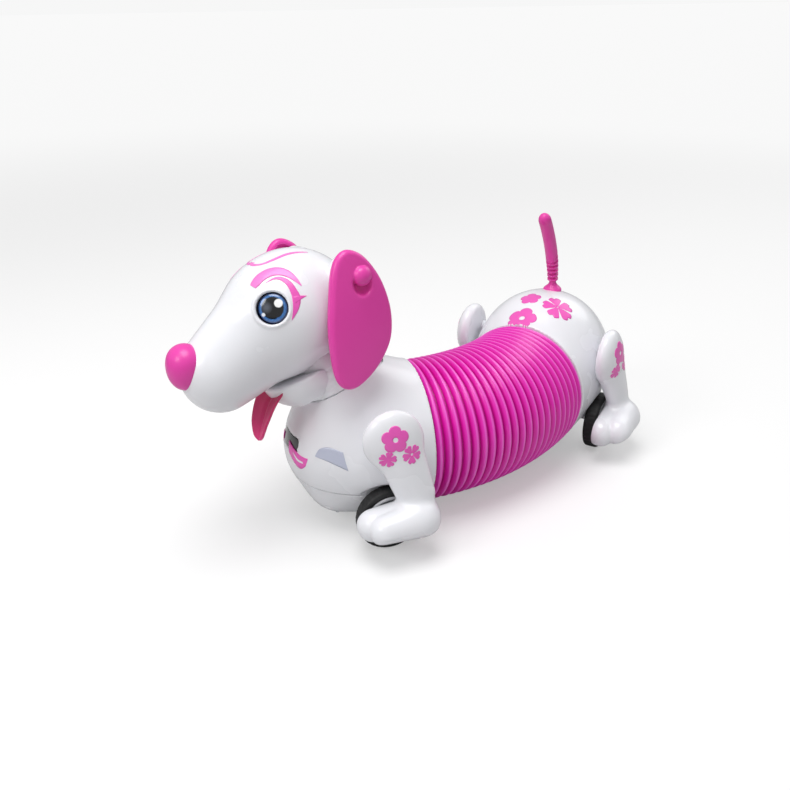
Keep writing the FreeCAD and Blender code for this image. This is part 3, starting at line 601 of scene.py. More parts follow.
def chest_outer(p):
    q = sides_folded(p)
    dome = ellipsoid(p, (-8, 0, 51), (59.5, 47.5, 48))
    rim = rod(p, (-30.4, 0, 50), (0, 0, 50), HOSE_REACH, 1.0)
    tub = rounded_box(p, (8, 0, 33), (32, 28, 25), 20)
    root = capsule(p, NECK - NECK_AXIS * 26, NECK - NECK_AXIS * 5, 33, 25.5)
    body = join(join(join(dome, rim, 5), tub, 6), root, 12)
    body = np.maximum(body, beyond(p, NECK + NECK_AXIS * NECK_SEAM, NECK_AXIS))
    body = np.maximum(body, beyond(p, (-30.4, 0, 0), (-1, 0, 0)))
    body = carve(body, leg_room(q), 2.5)
    return carve(body, rod(q, (0, 40.5, 20), (0, 80, 20), 22, 1), 1)


def chest_window(p):
    return rounded_box(p, (52, 0, 59.5), (22, 15.5, 4.8), 2.2)


def chest_skin(p):
    skin = np.maximum(chest_outer(p), -chest_inner(p))
    neck_hole = rod(p, NECK - NECK_AXIS * 14, NECK + NECK_AXIS * 20, 10.5, 0.2)
    hose_hole = rod(p, (-60, 0, 50), (-27, 0, 50), HOSE_HOLE, 0.2)
    return np.maximum(skin, -np.minimum(neck_hole, hose_hole))


def chest_inner(p):
    return chest_outer(p) + WALL


def above_seam(p, body):
    return meet(body, beyond(p, (0, 0, SEAM + SEAM_GAP), (0, 0, -1)), 0.5)


def below_seam(p, body):
    return meet(body, beyond(p, (0, 0, SEAM - SEAM_GAP), (0, 0, 1)), 0.5)


def chest_shell_field(p):
    return above_seam(p, carve(chest_skin(p), chest_window(p), 0.6))


def belly_field(p):
    body = carve(chest_skin(p), chest_window(p), 0.6)
    hatch = rounded_box(p, (44, 0, 17), (6, 12, 5), 2)
    slot = np.abs(hatch) - 0.35
    body = np.maximum(body, -slot)
    hole = rod(p, (30, 22, 17), (60, 22, 17), 1.6, 0.3)
    body = carve(body, hole, 0.6)
    return below_seam(p, body)


def window_field(p):
    body = np.maximum(chest_outer(p) + 0.5, -(chest_outer(p) + 2.4))
    return meet(body, chest_window(p) + 0.15, 0.5)


def leg_field(side, ahead):
    """One leg on the left or right; ahead shifts it forward from its pivot."""
    def field(p):
        peg = rod(p * (1, side, 1), (-1.5, 35, 74), (-1.5, 52, 74), 4, 0.4)
        q = p * (1, side, 1) - (ahead, 0, 0)
        flat = q.copy()
        flat[..., 1] = 52 + (q[..., 1] - 52) * 1.7
        disc = ellipsoid(flat, (-0.5, 52, 75.5), (17.8, 14, 18))
        thigh = capsule(flat, (-3.5, 53, 70), (-13.0, 63, 40), 14.5, 11.5)
        leg = join(disc, thigh * 0.75, 5)
        heel = capsule(q, (-15.5, 61.0, 26), (-9, 62, 25), 11.2, 12.2)
        inner_toe = capsule(q, (-8, 58.5, 25), (12.8, 56.6, 23), 11.8, 10.0)
        outer_toe = capsule(q, (-12, 64.5, 26), (8.4, 67.0, 24.5), 11.6, 9.6)
        paw = join(join(inner_toe, outer_toe, 1.0), heel, 5)
        body = join(leg, paw, 4.5)
        body = meet(body, beyond(q, (0, 52, 3.4), (0, 0.6, -0.8)), 3)
        face = np.minimum(52.2 - q[..., 1], np.maximum(48 - q[..., 1], 44.5 - q[..., 2]))
        return np.minimum(meet(body, face, 1.2), peg)
    return field


def legs(end, space):
    ahead = 0 if end == "front" else 10
    for name, side in SIDES.items():
        field = leg_field(side, ahead)
        low, high = (-33, min(side * 33, side * 80), 3), (38, max(side * 33, side * 80), 96)
        piece = moulded(f"leg_{end}_{name}", field, low, high, space, WHITE, f"leg_{end}_{name}")
        stands_for(piece, "white_plastic", f"{end}_leg_{name}")
        spots = (
            (petal_grid(8.1, 5, hole=1.5, spin=0.3), (0.5, 60, 79.5)),
            (petal_grid(6.0, 5, hole=0.8, spin=0.9, notch=0.7), (-9.0, 60, 69)),
            (petal_grid(5.2, 5, spin=0.1, notch=0.5), (5.0, 60, 67.5)),
        )
        for number, (grid, spot) in enumerate(spots, start=1):
            decal(f"flower_{end}_{name}_{number}", grid, field, np.add(spot, (ahead, 0, 0)), (-1, 0, 0),
                  (0, -0.1, 1), space, PRINT, f"leg_{end}_{name}", side, loop=True)


def tyre_piece(name, side, space, body, node):
    """A tyre with a flat tread, rounded shoulders and fine cross grooves."""
    sectors = 180
    profile = [(0.6, 16.0), (0.15, 16.6), (0.0, 18.4), (0.45, 19.4), (1.3, 19.95), (2.8, 20.0), (4.5, 20.0),
               (6.2, 20.0), (7.7, 19.95), (8.55, 19.4), (9.0, 18.4), (8.85, 16.6), (8.4, 16.0)]
    rings = []
    for height, radius in profile:
        angle = round_angles(sectors)
        groove = 0.35 * (np.arange(sectors) % 5 == 0) * (radius > 19.9)
        reach = radius - groove
        beside = np.full(sectors, WHEEL_FACE + height)
        rings.append(np.stack([reach * np.cos(angle), beside, AXLE + reach * np.sin(angle)], 1))
    points = np.concatenate(rings) * (1, side, 1)
    faces = grid_faces(len(profile), sectors, closed_rows=True, closed_columns=True)
    if side > 0:
        faces = [face[::-1] for face in faces]
    piece = make_piece(name, points, faces, space, RUBBER, body)
    stands_for(piece, "tyre_rubber", node)


def hub_field(side, driven):
    def field(p):
        q = p * (1, side, 1)

        def along_axle(start, end, radius, soft):
            return rod(q, (0, start, AXLE), (0, end, AXLE), radius, soft)

        rim = along_axle(WHEEL_FACE, WHEEL_FACE + WHEEL_WIDTH, 15.9, 0.5)
        body = np.maximum(rim, -along_axle(46, 60, 13.6, 0.8))
        body = join(body, along_axle(WHEEL_FACE, 50.4, 5.5, 0.6), 0.8)
        for index in range(5):
            c, s = math.cos(2 * math.pi * index / 5), math.sin(2 * math.pi * index / 5)
            turn = np.array([[c, 0, -s], [0, 1, 0], [s, 0, c]])
            spoke = rounded_box(q, (9.6 * c, 47.0, AXLE + 9.6 * s), (5.4, 1.4, 1.5), 0.5, turn)
            body = join(body, spoke, 0.8)
        return np.maximum(body, -along_axle(38, 60, 2.02 if driven else 2.1, 0.05))
    return field


def wheels(end, space):
    for name, side in SIDES.items():
        body = f"wheel_{end}_{name}"
        tyre_piece(f"tyre_{end}_{name}", side, space, body, f"{end}_tyre_{name}")
        low, high = (-18, min(side * 40, side * 53), 2), (18, max(side * 40, side * 53), 38)
        hub = moulded(f"hub_{end}_{name}", hub_field(side, end == "front"), low, high, space, HUB, body, 0.8)
        stands_for(hub, "hub_plastic", f"{end}_hub_{name}")


def chest():
    low, high = (-34, -50, 2), (56, 50, 104)
    upper = moulded("chest_upper", chest_shell_field, (-34, -50, 32), high, FRONT, WHITE, "chest")
    stands_for(upper, "white_plastic", "chest_shell")
    lower = moulded("chest_lower", belly_field, low, (56, 50, 36), FRONT, WHITE, "chest")
    stands_for(lower, "white_plastic", "belly_shell")
    window = moulded("front_window", window_field, (30, -18, 48), (56, 18, 68), FRONT, BLACK, "chest", 0.8)
    stands_for(window, "window_black", "sensor_window")
    chest_prints()


def chest_prints():
    """The pink band under the window with its white slash, and the grey panels beside it."""
    upper = [(-8, 12), (-3, 9.5), (3, 7.6), (8.5, 7.4)]
    lower = [(-7.5, 5), (-2, 0), (2.5, -1.6), (6.5, 1.6)]
    slash_upper = [(-3.5, 7.2), (0.5, 4.6), (4.6, 4.0)]
    slash_lower = [(-3.3, 6.6), (0.3, 3.2), (4.8, 3.0)]
    top = [(13.6, 11), (16.6, 15.8), (23, 17.6), (31, 15.8)]
    bottom = [(13.8, 10.4), (20, 9.6), (27, 7.6), (34.5, 4.6)]
    for name, side in SIDES.items():
        for mark, grid, material, lift in (
                ("chest_band", band_grid(upper, lower), PRINT, 0.16),
                ("chest_slash", band_grid(slash_upper, slash_lower), WHITE, 0.26),
                ("chest_panel", band_grid(top, bottom), PRINT_GREY, 0.16)):
            decal(f"{mark}_{name}", grid, chest_outer, (46, 14, 48), (-0.8, 0.6, 0), (0, 0, 1), FRONT,
                  material, "chest", side, lift)


# --- hose ---

HOSE_START = -30.7
HOSE_LENGTH = 103.4
HOSE_TURN = math.radians(41)
HOSE_HEIGHT = 50.0
FOLDS, FOLD_VALLEY, FOLD_HEIGHT, HOSE_WALL = 22, 42.1, 3.4, 1.2
SEAMS = [0.0] + [(0.5 + 3 * index) / FOLDS for index in range(1, 7)] + [1.0]


def hose_place(share):
    """Centre and heading of the hose at a share of its length; the heading points back to the chest."""
    bend = HOSE_LENGTH / HOSE_TURN
    angle = share * HOSE_TURN
    centre = np.array((HOSE_START - bend * math.sin(angle), -bend * (1 - math.cos(angle)), HOSE_HEIGHT))
    return centre, np.array((math.cos(angle), math.sin(angle), 0.0))


def fold_shape(share):
    """0 in a valley and 1 on a crest, rounded on top and narrow at the bottom."""
    return abs(math.cos(math.pi * (share * FOLDS - 0.5))) ** 0.85


def tube_piece(name, index, shares, radii, inner, sectors, material, crest=None):
    """One stretch of a tube along the hose, between two of its seams."""
    angle = round_angles(sectors)
    rings, folds, turns = [], [], []
    loops = [(share, radius) for share, radius in zip(shares, radii)]
    loops += [(share, radius) for share, radius in zip(shares[::-1], inner[::-1])]
    for number, (share, radius) in enumerate(loops):
        centre, heading = hose_place(share)
        across = np.cross((0, 0, 1), heading)
        spokes = np.cos(angle)[:, None] * across + np.sin(angle)[:, None] * np.array((0, 0, 1.0))
        rings.append(centre + radius * spokes)
        folds.append(np.full(sectors, crest[number] if crest and number < len(shares) else 0.0))
        turns.append(np.full(sectors, (share - SEAMS[index]) / (SEAMS[index + 1] - SEAMS[index])))
    points = np.concatenate(rings)
    faces = grid_faces(len(loops), sectors, closed_rows=True, closed_columns=True)
    piece = make_piece(name, points, faces, FRONT, material)
    tag(piece, "fold", np.concatenate(folds))
    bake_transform(piece)
    even = np.clip(np.concatenate(turns), 0, 1).astype(np.float32)
    return piece


def hose():
    samples = 16
    sectors = 200
    for index in range(7):
        low, high = SEAMS[index], SEAMS[index + 1]
        count = max(4, round((high - low) * FOLDS * samples)) + 1
        shares = list(np.linspace(low, high, count))
        crests = [fold_shape(share) for share in shares]
        radii = [FOLD_VALLEY + FOLD_HEIGHT * crest for crest in crests]
        inner = [radius - HOSE_WALL for radius in radii]
        piece = tube_piece(f"hose_{index + 1}_folds", index, shares, radii, inner, sectors, HOSE, crests)
        if index == 0:
            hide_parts("hose_bellows")
        plain = list(np.linspace(low, high, 9))
        lead = tube_piece(f"power_lead_{index + 1}", index, plain, [1.6] * 9, [0.8] * 9, 20, CABLE)
        if index == 0:
            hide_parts("power_lead")


# --- rear half ---

def rump_outer(p):
    q = sides_folded(p)
    ball = ellipsoid(p, (-1, 0, 58), (51, 48, 51))
    rim = rod(p, (0, 0, 50), (36.2, 0, 50), HOSE_REACH, 1.0)
    body = join(ball, rim, 6)
    body = np.maximum(body, beyond(p, (36.0, 0, 0), (1, 0, 0)))
    body = meet(body, beyond(p, (0, 0, 9), (0, 0, -1)), 5)
    body = carve(body, leg_room(q), 2.5)
    return carve(body, rod(q, (0, 40.5, 20), (0, 80, 20), 21.4, 1), 1)


def rump_skin(p):
    skin = np.maximum(rump_outer(p), -(rump_outer(p) + WALL))
    hose_hole = rod(p, (33, 0, 50), (60, 0, 50), HOSE_HOLE, 0.2)
    door = rounded_box(p, (-6, 0, 9), (22.2, 25.2, 5), 1)
    knob = rounded_box(p, (25.5, 0, 9), (3.6, 6.2, 5), 0.6)
    return np.maximum(skin, -np.minimum(hose_hole, np.minimum(door, knob)))


def rump():
    upper = moulded(
        "rump_upper", lambda p: above_seam(p, rump_skin(p)),
        (-54, -51, 32), (40, 51, 112), REAR, WHITE, "rump")
    stands_for(upper, "white_plastic", "rump_upper_shell")
    lower = moulded(
        "rump_lower", lambda p: below_seam(p, rump_skin(p)),
        (-54, -51, 2), (40, 51, 36), REAR, WHITE, "rump")
    stands_for(lower, "white_plastic", "rump_lower_shell")
    door = moulded("battery_cover", battery_cover, (-30, -27, 7), (17, 27, 13), REAR, WHITE, "rump", 0.8)
    stands_for(door, "white_plastic", "battery_door")
    rump_flowers()


def battery_cover(p):
    plate = rounded_box(p, (-6, 0, 10.2), (21.7, 24.7, 1.0), 0.8)
    ribs = np.abs(((p[..., 0] + 26) % 4) - 2) - 0.6
    low = np.maximum(rounded_box(p, (-22, 0, 9.3), (5, 10, 0.8), 0.3), ribs)
    hole = rod(p, (12, 0, 5), (12, 0, 15), 1.5, 0.2)
    return np.maximum(np.minimum(plate, low), -hole)


def rump_flowers():
    """Printed flowers on top of the rump, in front of the tail and beside it."""
    spots = (
        (petal_grid(10.4, 5, hole=2.0, spin=0.2) * (1, 0.8), (30, -5, 100), "a"),
        (petal_grid(7.4, 5, spin=0.5) * (1, 0.9), (11, -7, 105), "b"),
        (petal_grid(11.2, 5, hole=0.5, spin=0.9, notch=0.9) * (1, 0.85), (13, 14, 104), "c"),
    )
    for grid, origin, mark in spots:
        decal(f"rump_flower_{mark}", grid, rump_outer, origin, (0, 1, 0), (-1, 0, 0), REAR, PRINT, "rump",
              loop=True)


# --- tail ---

def tail_place(share):
    return np.array((-12 + 30 * max(share, 0.0) ** 1.8, 0, 108 + 62 * share))


def tail_radius(share, turn):
    """The tail's radius along and round it: a flared foot, ribs, slots on the back, then a smooth tip."""
    foot = 4.2 * math.exp(-(max(share, 0.0) / 0.05) ** 2)
    if share < 0.11:
        return 2.3 + foot
    grow = min(1.0, (share - 0.11) / 0.25)
    full = 3.7 + 0.6 * grow
    if share < 0.475:
        late = max(0.0, share - 0.28) / 0.19
        rib = math.cos(2 * math.pi * (share + 0.03 * turn * late - 0.133) / 0.055)
        slot = min(1.0, max(0.0, 0.75 - 2.0 * rib))
        full -= (full - 2.0) * slot * min(1.0, max(0.0, 1.3 - 1.6 * late * (turn + 0.5)))
    if share > 0.9:
        full *= math.sqrt(max(0.0, 1 - ((share - 0.9) / 0.075) ** 2))
    return max(full, 0.02)


def tail_stretch(name, low, high, start, end, nodes):
    sectors = 48
    shares = np.linspace(low, high, int((high - low) / 0.0022))
    angle = round_angles(sectors)
    rings = []
    for share in shares:
        ahead = unit(tail_place(share + 0.01) - tail_place(share - 0.01))
        out = np.cross((0, 1, 0), ahead)
        radius = np.array([tail_radius(share, math.cos(a)) for a in angle])[:, None]
        spokes = np.cos(angle)[:, None] * out + np.sin(angle)[:, None] * np.array((0, 1.0, 0))
        rings.append(tail_place(share) + radius * spokes)
    first, last = tail_place(low), tail_place(high)
    points = np.concatenate([first[None]] + rings + [last[None]])
    sides = grid_faces(len(shares), sectors, closed_columns=True)
    faces = [tuple(index + 1 for index in face[::-1]) for face in sides]
    top = len(points) - 1
    for column in range(sectors):
        following = (column + 1) % sectors
        faces.append((0, 1 + column, 1 + following))
        faces.append((top, top - sectors + following, top - sectors + column))
    piece = make_piece(name, points, faces, REAR, PINK)
    REAR.place(tail_place(start))
    REAR.place(tail_place(end))
    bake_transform(piece)
    stands_for(piece, "pink_plastic", *nodes)


def tail():
    tail_stretch("tail_foot", -0.08, 0.2, 0.03, 0.19, ["tail_root"])
    tail_stretch("tail_top", 0.2, 0.975, 0.21, 0.42, ["tail_tip"])


# --- head ---

def head_outer(p):
    narrow = p * (1, 1.16, 1)
    skull = ellipsoid(p, (42, 0, 140), (38.5, 34, 36))
    muzzle = capsule(narrow, (56, 0, 136), (90, 0, 115), 31, 23.8) * 0.9
    head = join(skull, muzzle, 9)
    q = sides_folded(p)
    crease = beyond(q, (75, 16.5, 102.8), (-0.136, 0.70, -0.70))
    head = meet(head, crease, 1.6)
    boss = rod(q, (21, 22, 163), (21, 35, 163), 8.5, 2.5)
    offset = q - EYE_SPOT
    depth = offset @ EYE_AXIS
    around = length(offset - depth[..., None] * EYE_AXIS)
    ring = 0.8 * np.exp(-((around - 10.0) / 1.0) ** 2) * (np.abs(depth) < 12)
    return join(head, boss, 3) - ring


def mouth_line(p):
    """Positive below the plane of the upper lip."""
    return -(p[..., 2] - 90.2 - 0.36 * (91 - p[..., 0]))


def head_field(p):
    outer = head_outer(p)
    lip = meet(outer, mouth_line(p), 1.5)
    hollow = np.maximum(outer + WALL, mouth_line(p) + 3.0)
    skin = np.maximum(lip, -hollow)
    room = np.minimum(
        length(p - (NECK + NECK_AXIS * 30)) - 21.5,
        rod(p, NECK + NECK_AXIS * 30, NECK - NECK_AXIS * 30, 22.5, 0.5))
    skin = carve(skin, room, 0.8)
    socket = rod(sides_folded(p), EYE_SPOT - EYE_AXIS * 8, EYE_SPOT + EYE_AXIS * 8, 8.7, 0.2)
    return carve(skin, socket, 0.5)


EYE_SPOT = np.array((65.6, 23.5, 149.0))
EYE_AXIS = unit((0.56, 0.79, 0.24))


def head():
    piece = moulded("head_skin", head_field, (-2, -40, 84), (118, 40, 182), HEAD, WHITE, "head")
    stands_for(piece, "white_plastic", "head_shell")
    jaw_piece = moulded("jaw_skin", jaw_field, (12, -26, 78), (74, 26, 120), HEAD, WHITE, "head")
    stands_for(jaw_piece, "white_plastic", "jaw")
    nose_piece = moulded("nose_ball", nose_field, (94, -16, 104), (124, 16, 138), HEAD, PINK, "head", 0.8)
    stands_for(nose_piece, "pink_plastic", "nose")
    tongue()
    eyes()
    brows()


def chest_at_nod(p, angle):
    """The chest's field at points of the head that has nodded by an angle."""
    pivot = HEAD.local(joint_point("head_nod"))
    ahead, aside, up = np.moveaxis(p - pivot, -1, 0)
    c, s = math.cos(angle), math.sin(angle)
    moved = np.stack([c * ahead + s * up, aside, c * up - s * ahead], -1) + pivot
    return chest_outer(HEAD.place(moved) / MM)


def jaw_field(p):
    body = ellipsoid(p, (41.5, 0, 104.5), (25, 21.5, 21.5))
    body = meet(body, -mouth_line(p) + 1.0, 2.0)
    body = carve(body, chest_at_nod(p, math.radians(8)) - 0.5, 0.8)
    room = rod(p, NECK + NECK_AXIS * 36, NECK - NECK_AXIS * 30, 22.5, 0.5)
    return carve(body, room, 1.0)


def nose_field(p):
    upper = ellipsoid(p, (110, 0, 123.5), (10.2, 11.2, 10.8))
    lower = ellipsoid(p, (110.5, 0, 117), (8.4, 8.6, 8.6))
    return join(upper, lower, 5)


def neck_field(p):
    skirt = capsule(p, NECK + NECK_AXIS * 3, NECK + NECK_AXIS * 30, 25, 20)
    body = np.maximum(skirt, beyond(p, NECK + NECK_AXIS * (NECK_SEAM + 0.4), -NECK_AXIS))
    along = (p - NECK) @ NECK_AXIS
    for height in (8, 13, 18):
        body = body + 0.45 * np.exp(-((along - height) / 0.9) ** 2)
    journal = rod(p, NECK - NECK_AXIS * 8, NECK + NECK_AXIS * 4, 10, 0.3)
    body = np.minimum(body, journal)
    return np.maximum(body, -rod(p, NECK - NECK_AXIS * 30, NECK + NECK_AXIS * 80, 5, 0.3))


def neck():
    piece = moulded("neck_skirt", neck_field, (-16, -28, 82), (62, 28, 145), HEAD, WHITE, "neck")
    stands_for(piece, "white_plastic", "neck_collar")


def tongue():
    """A soft leaf that hangs out of the mouth, hollowed along its middle."""
    rows, columns = 44, 25
    knots = [(46, 100.5, 9.5), (56, 98.0, 12.0), (64, 90.5, 12.0), (69.5, 80.0, 9.6), (72.5, 71.5, 5.2),
             (73.2, 68.6, 0.4)]
    line = smooth_line(knots, rows)
    ahead = np.gradient(line[:, :2], axis=0)
    ahead = ahead / length(ahead)[:, None]
    share = np.linspace(-1, 1, columns)
    lift = (1.8 * share ** 2 - 0.9 * np.exp(-(share / 0.14) ** 2))[:, None]
    tops, slopes_of_rows, depth = [], [], []
    for row, (x, z, half) in enumerate(line):
        normal = np.array((-ahead[row, 1], 0, ahead[row, 0]))
        if normal[0] < 0:
            normal = -normal
        flat = np.stack([np.full(columns, x), share * max(half, 0.3), np.full(columns, z)], 1)
        tops.append(flat + lift * normal * min(1, half / 9))
        slopes_of_rows.append(np.tile(normal, (columns, 1)))
        depth.append(np.full(columns, row / (rows - 1)))
    top = np.concatenate(tops)
    slope = np.concatenate(slopes_of_rows)
    edge = np.tile(np.sqrt(np.maximum(0, 1 - share ** 4)), rows)[:, None]
    bottom = top - slope * (0.5 + 1.9 * edge)
    points = np.concatenate([top, bottom])
    shift = rows * columns
    upper = grid_faces(rows, columns)
    faces = [face[::-1] for face in upper] + [tuple(index + shift for index in face) for face in upper]
    for row in range(rows - 1):
        a, b = row * columns, (row + 1) * columns
        faces.append((a + shift, a, b, b + shift)[::-1])
        a, b = a + columns - 1, b + columns - 1
        faces.append((a, a + shift, b + shift, b)[::-1])
    for column in range(columns - 1):
        a = column
        faces.append((a, a + shift, a + 1 + shift, a + 1)[::-1])
        b = (rows - 1) * columns + column
        faces.append((b + shift, b, b + 1, b + 1 + shift)[::-1])
    piece = make_piece("tongue_leaf", points, faces, HEAD, TONGUE, "head")
    # depth, 0 at the root and 1 at the tip, drives the painted shade towards the root
    tag(piece, "depth", np.concatenate(depth * 2))
    stands_for(piece, "tongue_pink", "tongue")


def eye_material():
    """A printed iris and pupil under a clear dome, with a painted grey reflection in the pupil and glints
    that are partly printed and partly painted highlight; u and v run across the eye from -1 to 1.
    """
    material, nodes, shader = new_material("eye_print_and_painted_light")
    links = material.node_tree.links
    across = add(nodes, "Attribute", attribute_name="eye_across", attribute_type="GEOMETRY")
    upward = add(nodes, "Attribute", attribute_name="eye_up", attribute_type="GEOMETRY")
    place = add(nodes, "CombineXYZ")
    wire(across, "Fac", place, "X")
    wire(upward, "Fac", place, "Y")

    def disc(centre, radius, soft=0.03):
        reach = add(nodes, "VectorMath", {1: (centre[0], centre[1], 0)}, operation="DISTANCE")
        wire(place, "Vector", reach, 0)
        step = add(nodes, "MapRange", {"From Min": radius + soft, "From Max": radius - soft})
        wire(reach, "Value", step, "Value")
        return step.outputs["Result"]

    def over(base, colour, mask):
        mix = add(nodes, "Mix", data_type="RGBA")
        links.new(mask, mix.inputs["Factor"])
        for socket, value in (("A", base), ("B", colour)):
            if isinstance(value, tuple):
                mix.inputs[socket].default_value = value
            else:
                links.new(value, mix.inputs[socket])
        return mix.outputs["Result"]

    streak = add(nodes, "TexNoise", {"Scale": 9})
    wire(place, "Vector", streak, "Vector")
    iris = colour_ramp(nodes, streak, [(0, linear(30, 74, 140)), (1, linear(84, 146, 214))])
    colour = over(linear(20, 32, 74), iris.outputs["Color"], disc((0.02, 0.0), 0.88, 0.05))
    colour = over(colour, linear(8, 10, 16), disc((0.02, 0.02), 0.72, 0.03))
    # painted reflection: a grey patch in the left of the pupil
    colour = over(colour, linear(84, 88, 98), disc((-0.36, 0.06), 0.26, 0.16))
    # glints, partly printed and partly painted highlight: a large white one up right, a small one low left
    # and a tiny pale blue one below
    colour = over(colour, linear(255, 255, 255), disc((0.42, 0.30), 0.27, 0.03))
    colour = over(colour, linear(244, 248, 255), disc((-0.60, -0.38), 0.12, 0.03))
    colour = over(colour, linear(70, 120, 190), disc((0.33, -0.68), 0.08, 0.04))
    links.new(colour, shader.inputs["Base Color"])
    preset(shader, {"Roughness": 0.18, "Coat Weight": 0.8, "Coat Roughness": 0.03})
    return material


EYE_RADIUS = 8.4


def eyes():
    material = eye_material()
    profile = [(-3.0, 0.0), (-3.0, 8.0), (-2.6, EYE_RADIUS), (-0.2, EYE_RADIUS)]
    for step in range(1, 14):
        share = step / 13
        lean = share * math.pi / 2
        profile.append((2.3 * math.sin(lean), EYE_RADIUS * math.cos(lean) ** 0.9))
    for name, side in SIDES.items():
        points, faces = lathe(profile, 96)
        axis = EYE_AXIS * (1, side, 1)
        right = unit(np.cross((0, 0, 1), axis))
        up = np.cross(axis, right)
        turn = np.column_stack([right, up, axis])
        spot = EYE_SPOT * (1, side, 1) - axis * 0.5
        piece = make_piece(f"eye_dome_{name}", points @ turn.T + spot, faces, HEAD, material, "head")
        tag(piece, "eye_across", points[:, 0] / EYE_RADIUS * side)
        tag(piece, "eye_up", points[:, 1] / EYE_RADIUS)
        stands_for(piece, "eye_blue", f"eye_{name}")


def brows():
    """Printed brow, lash and crown lines, drawn as seen square-on from in front of each eye."""
    brow = [(-10.6, 11.6, 1.9), (-9.2, 13.8, 2.5), (-6.4, 17.0, 2.6), (-1.8, 19.6, 2.5), (3.2, 20.2, 2.3),
            (7.8, 18.8, 1.9), (11.8, 15.9, 1.2), (15.4, 12.2, 0.12)]
    lash = [(-3.6, 13.6, 0.12), (0.6, 16.0, 0.55), (4.4, 16.0, 1.0), (8.4, 13.6, 1.4), (11.2, 9.4, 1.8),
            (12.8, 5.0, 2.2), (12.4, -0.6, 1.4), (10.4, -6.4, 0.12)]
    spike = [(11.6, 4.4, 1.9), (14.6, 5.8, 1.1), (18.0, 6.9, 0.1)]
    crown = [(-14.2, 26.4, 1.0), (-12.6, 25.0, 0.9), (-9.6, 24.5, 0.5), (-5.7, 25.2, 0.5), (0, 27.8, 0.7),
             (5.7, 30.8, 0.7), (11.3, 32.4, 0.5), (17.0, 33.0, 0.15)]
    marks = {"brow": brow, "lash": lash, "lash_tip": spike, "crown": crown}
    for name, side in SIDES.items():
        for mark, knots in marks.items():
            material = PRINT if mark.startswith("lash") else PRINT_LIGHT
            decal(f"{mark}_{name}", ribbon_grid(knots), head_outer, EYE_SPOT, (-0.826, 0.56, -0.07),
                  (-0.228, -0.218, 0.949), HEAD, material, "head", side)


# --- ears ---

EAR_OUTLINE = [(26.8, 176.2), (33.4, 172.6), (37.4, 164), (39.7, 151), (41.6, 136), (41.8, 121),
               (40.2, 107.6), (35.9, 100.4), (28.6, 98.8), (18.9, 103.8), (9.6, 112.4), (2.6, 124),
               (1.4, 138.8), (5.2, 153.7), (11.2, 165), (18.6, 173.2)]


def outline_distance(points, outline):
    """Signed distance in a plane to a closed outline, negative inside."""
    nearest = np.full(len(points), 1e9)
    inside = np.zeros(len(points), bool)
    for a, b in zip(outline, np.roll(outline, -1, axis=0)):
        edge = b - a
        offset = points - a
        share = np.clip(offset @ edge / (edge @ edge), 0, 1)
        nearest = np.minimum(nearest, length(offset - share[:, None] * edge))
        crosses = (a[1] > points[:, 1]) != (b[1] > points[:, 1])
        where = a[0] + (points[:, 1] - a[1]) / (edge[1] if abs(edge[1]) > 1e-9 else 1e-9) * edge[0]
        inside ^= crosses & (points[:, 0] < where)
    return np.where(inside, -nearest, nearest)


def ear_field(side):
    closed = smooth_line(EAR_OUTLINE[-2:] + EAR_OUTLINE + EAR_OUTLINE[:3], 20 * 6 + 1)
    outline = closed[2 * 6:18 * 6]

    def field(p):
        q = p * (1, side, 1)
        shape = q.shape
        flat = q.reshape(-1, 3)
        edge = outline_distance(flat[:, (0, 2)], outline)
        dome = np.clip(1 - ((flat[:, 0] - 22) / 23) ** 2 - ((flat[:, 2] - 137) / 42) ** 2, 0, 1)
        middle = 39.2 + 1.2 * dome
        thick = 2.6 + 1.6 * dome
        soft = 2.6
        box = np.stack([edge + soft, np.abs(flat[:, 1] - middle) - thick + soft], -1)
        body = length(np.maximum(box, 0)) + np.minimum(box.max(-1), 0) - soft
        hollow = np.stack([edge + 5.0, flat[:, 1] - 37.6], -1)
        dish = length(np.maximum(hollow, 0)) + np.minimum(hollow.max(-1), 0) - 1.0
        body = carve(body, dish, 1.2)
        recess = ellipsoid(flat, (20.0, 46.0, 157.4), (6.6, 6.4, 7.4))
        body = carve(body, recess, 1.2)
        knob = ellipsoid(flat, (19.8, 42.6, 161.4), (5.5, 4.6, 5.6))
        body = join(body, knob, 0.5)
        peg = rod(flat, (18, 22, 158), (18, 40, 158), 3, 0.3)
        return np.minimum(body, peg).reshape(shape[:-1])
    return field


def ears():
    for name, side in SIDES.items():
        low, high = (-2, min(side * 20, side * 49), 95), (46, max(side * 20, side * 49), 180)
        piece = moulded(f"ear_flap_{name}", ear_field(side), low, high, HEAD, PINK, f"ear_{name}")
        stands_for(piece, "pink_plastic", f"ear_{name}")


# --- parts that keep their CAD shape ---

def dress_cad_nodes():
    finishes = {
        "main_board": BOARD, "sensor_board": BOARD, "eye_light_board": BOARD, "speaker": BLACK,
        "chest_screws": STEEL, "door_screw": STEEL, "nod_pin": STEEL, "rear_axle": STEEL,
        "batteries": STEEL, "battery_contacts": STEEL, "battery_box": INNER, "power_switch_knob": INNER,
        "hose_ring_front": INNER, "hose_ring_rear": INNER,
    }
    for name in frame["nodes"]:
        if name.startswith("drive_motor"):
            finishes[name] = STEEL
        if name.startswith(("wheel_gear", "idler_gear", "motor_pinion")):
            finishes[name] = NYLON
        if name.startswith("hose_hoop"):
            finishes[name] = INNER
    for name, material in finishes.items():
        node = frame["nodes"][name]
        for slot_number in range(max(1, len(node.data.materials))):
            if node.data.materials:
                node.material_slots[slot_number].material = material
            else:
                node.data.materials.append(material)


# --- stage ---

FLOOR_GLOW = 0.36  # what the camera sees on top of the light that falls on the floor
FLOOR_NEAR, FLOOR_FAR = 0.35, 1.6  # metres from the toy over which the floor fades into the background
WORLD_LIGHT = 0.42
WORLD_SEEN = 0.93


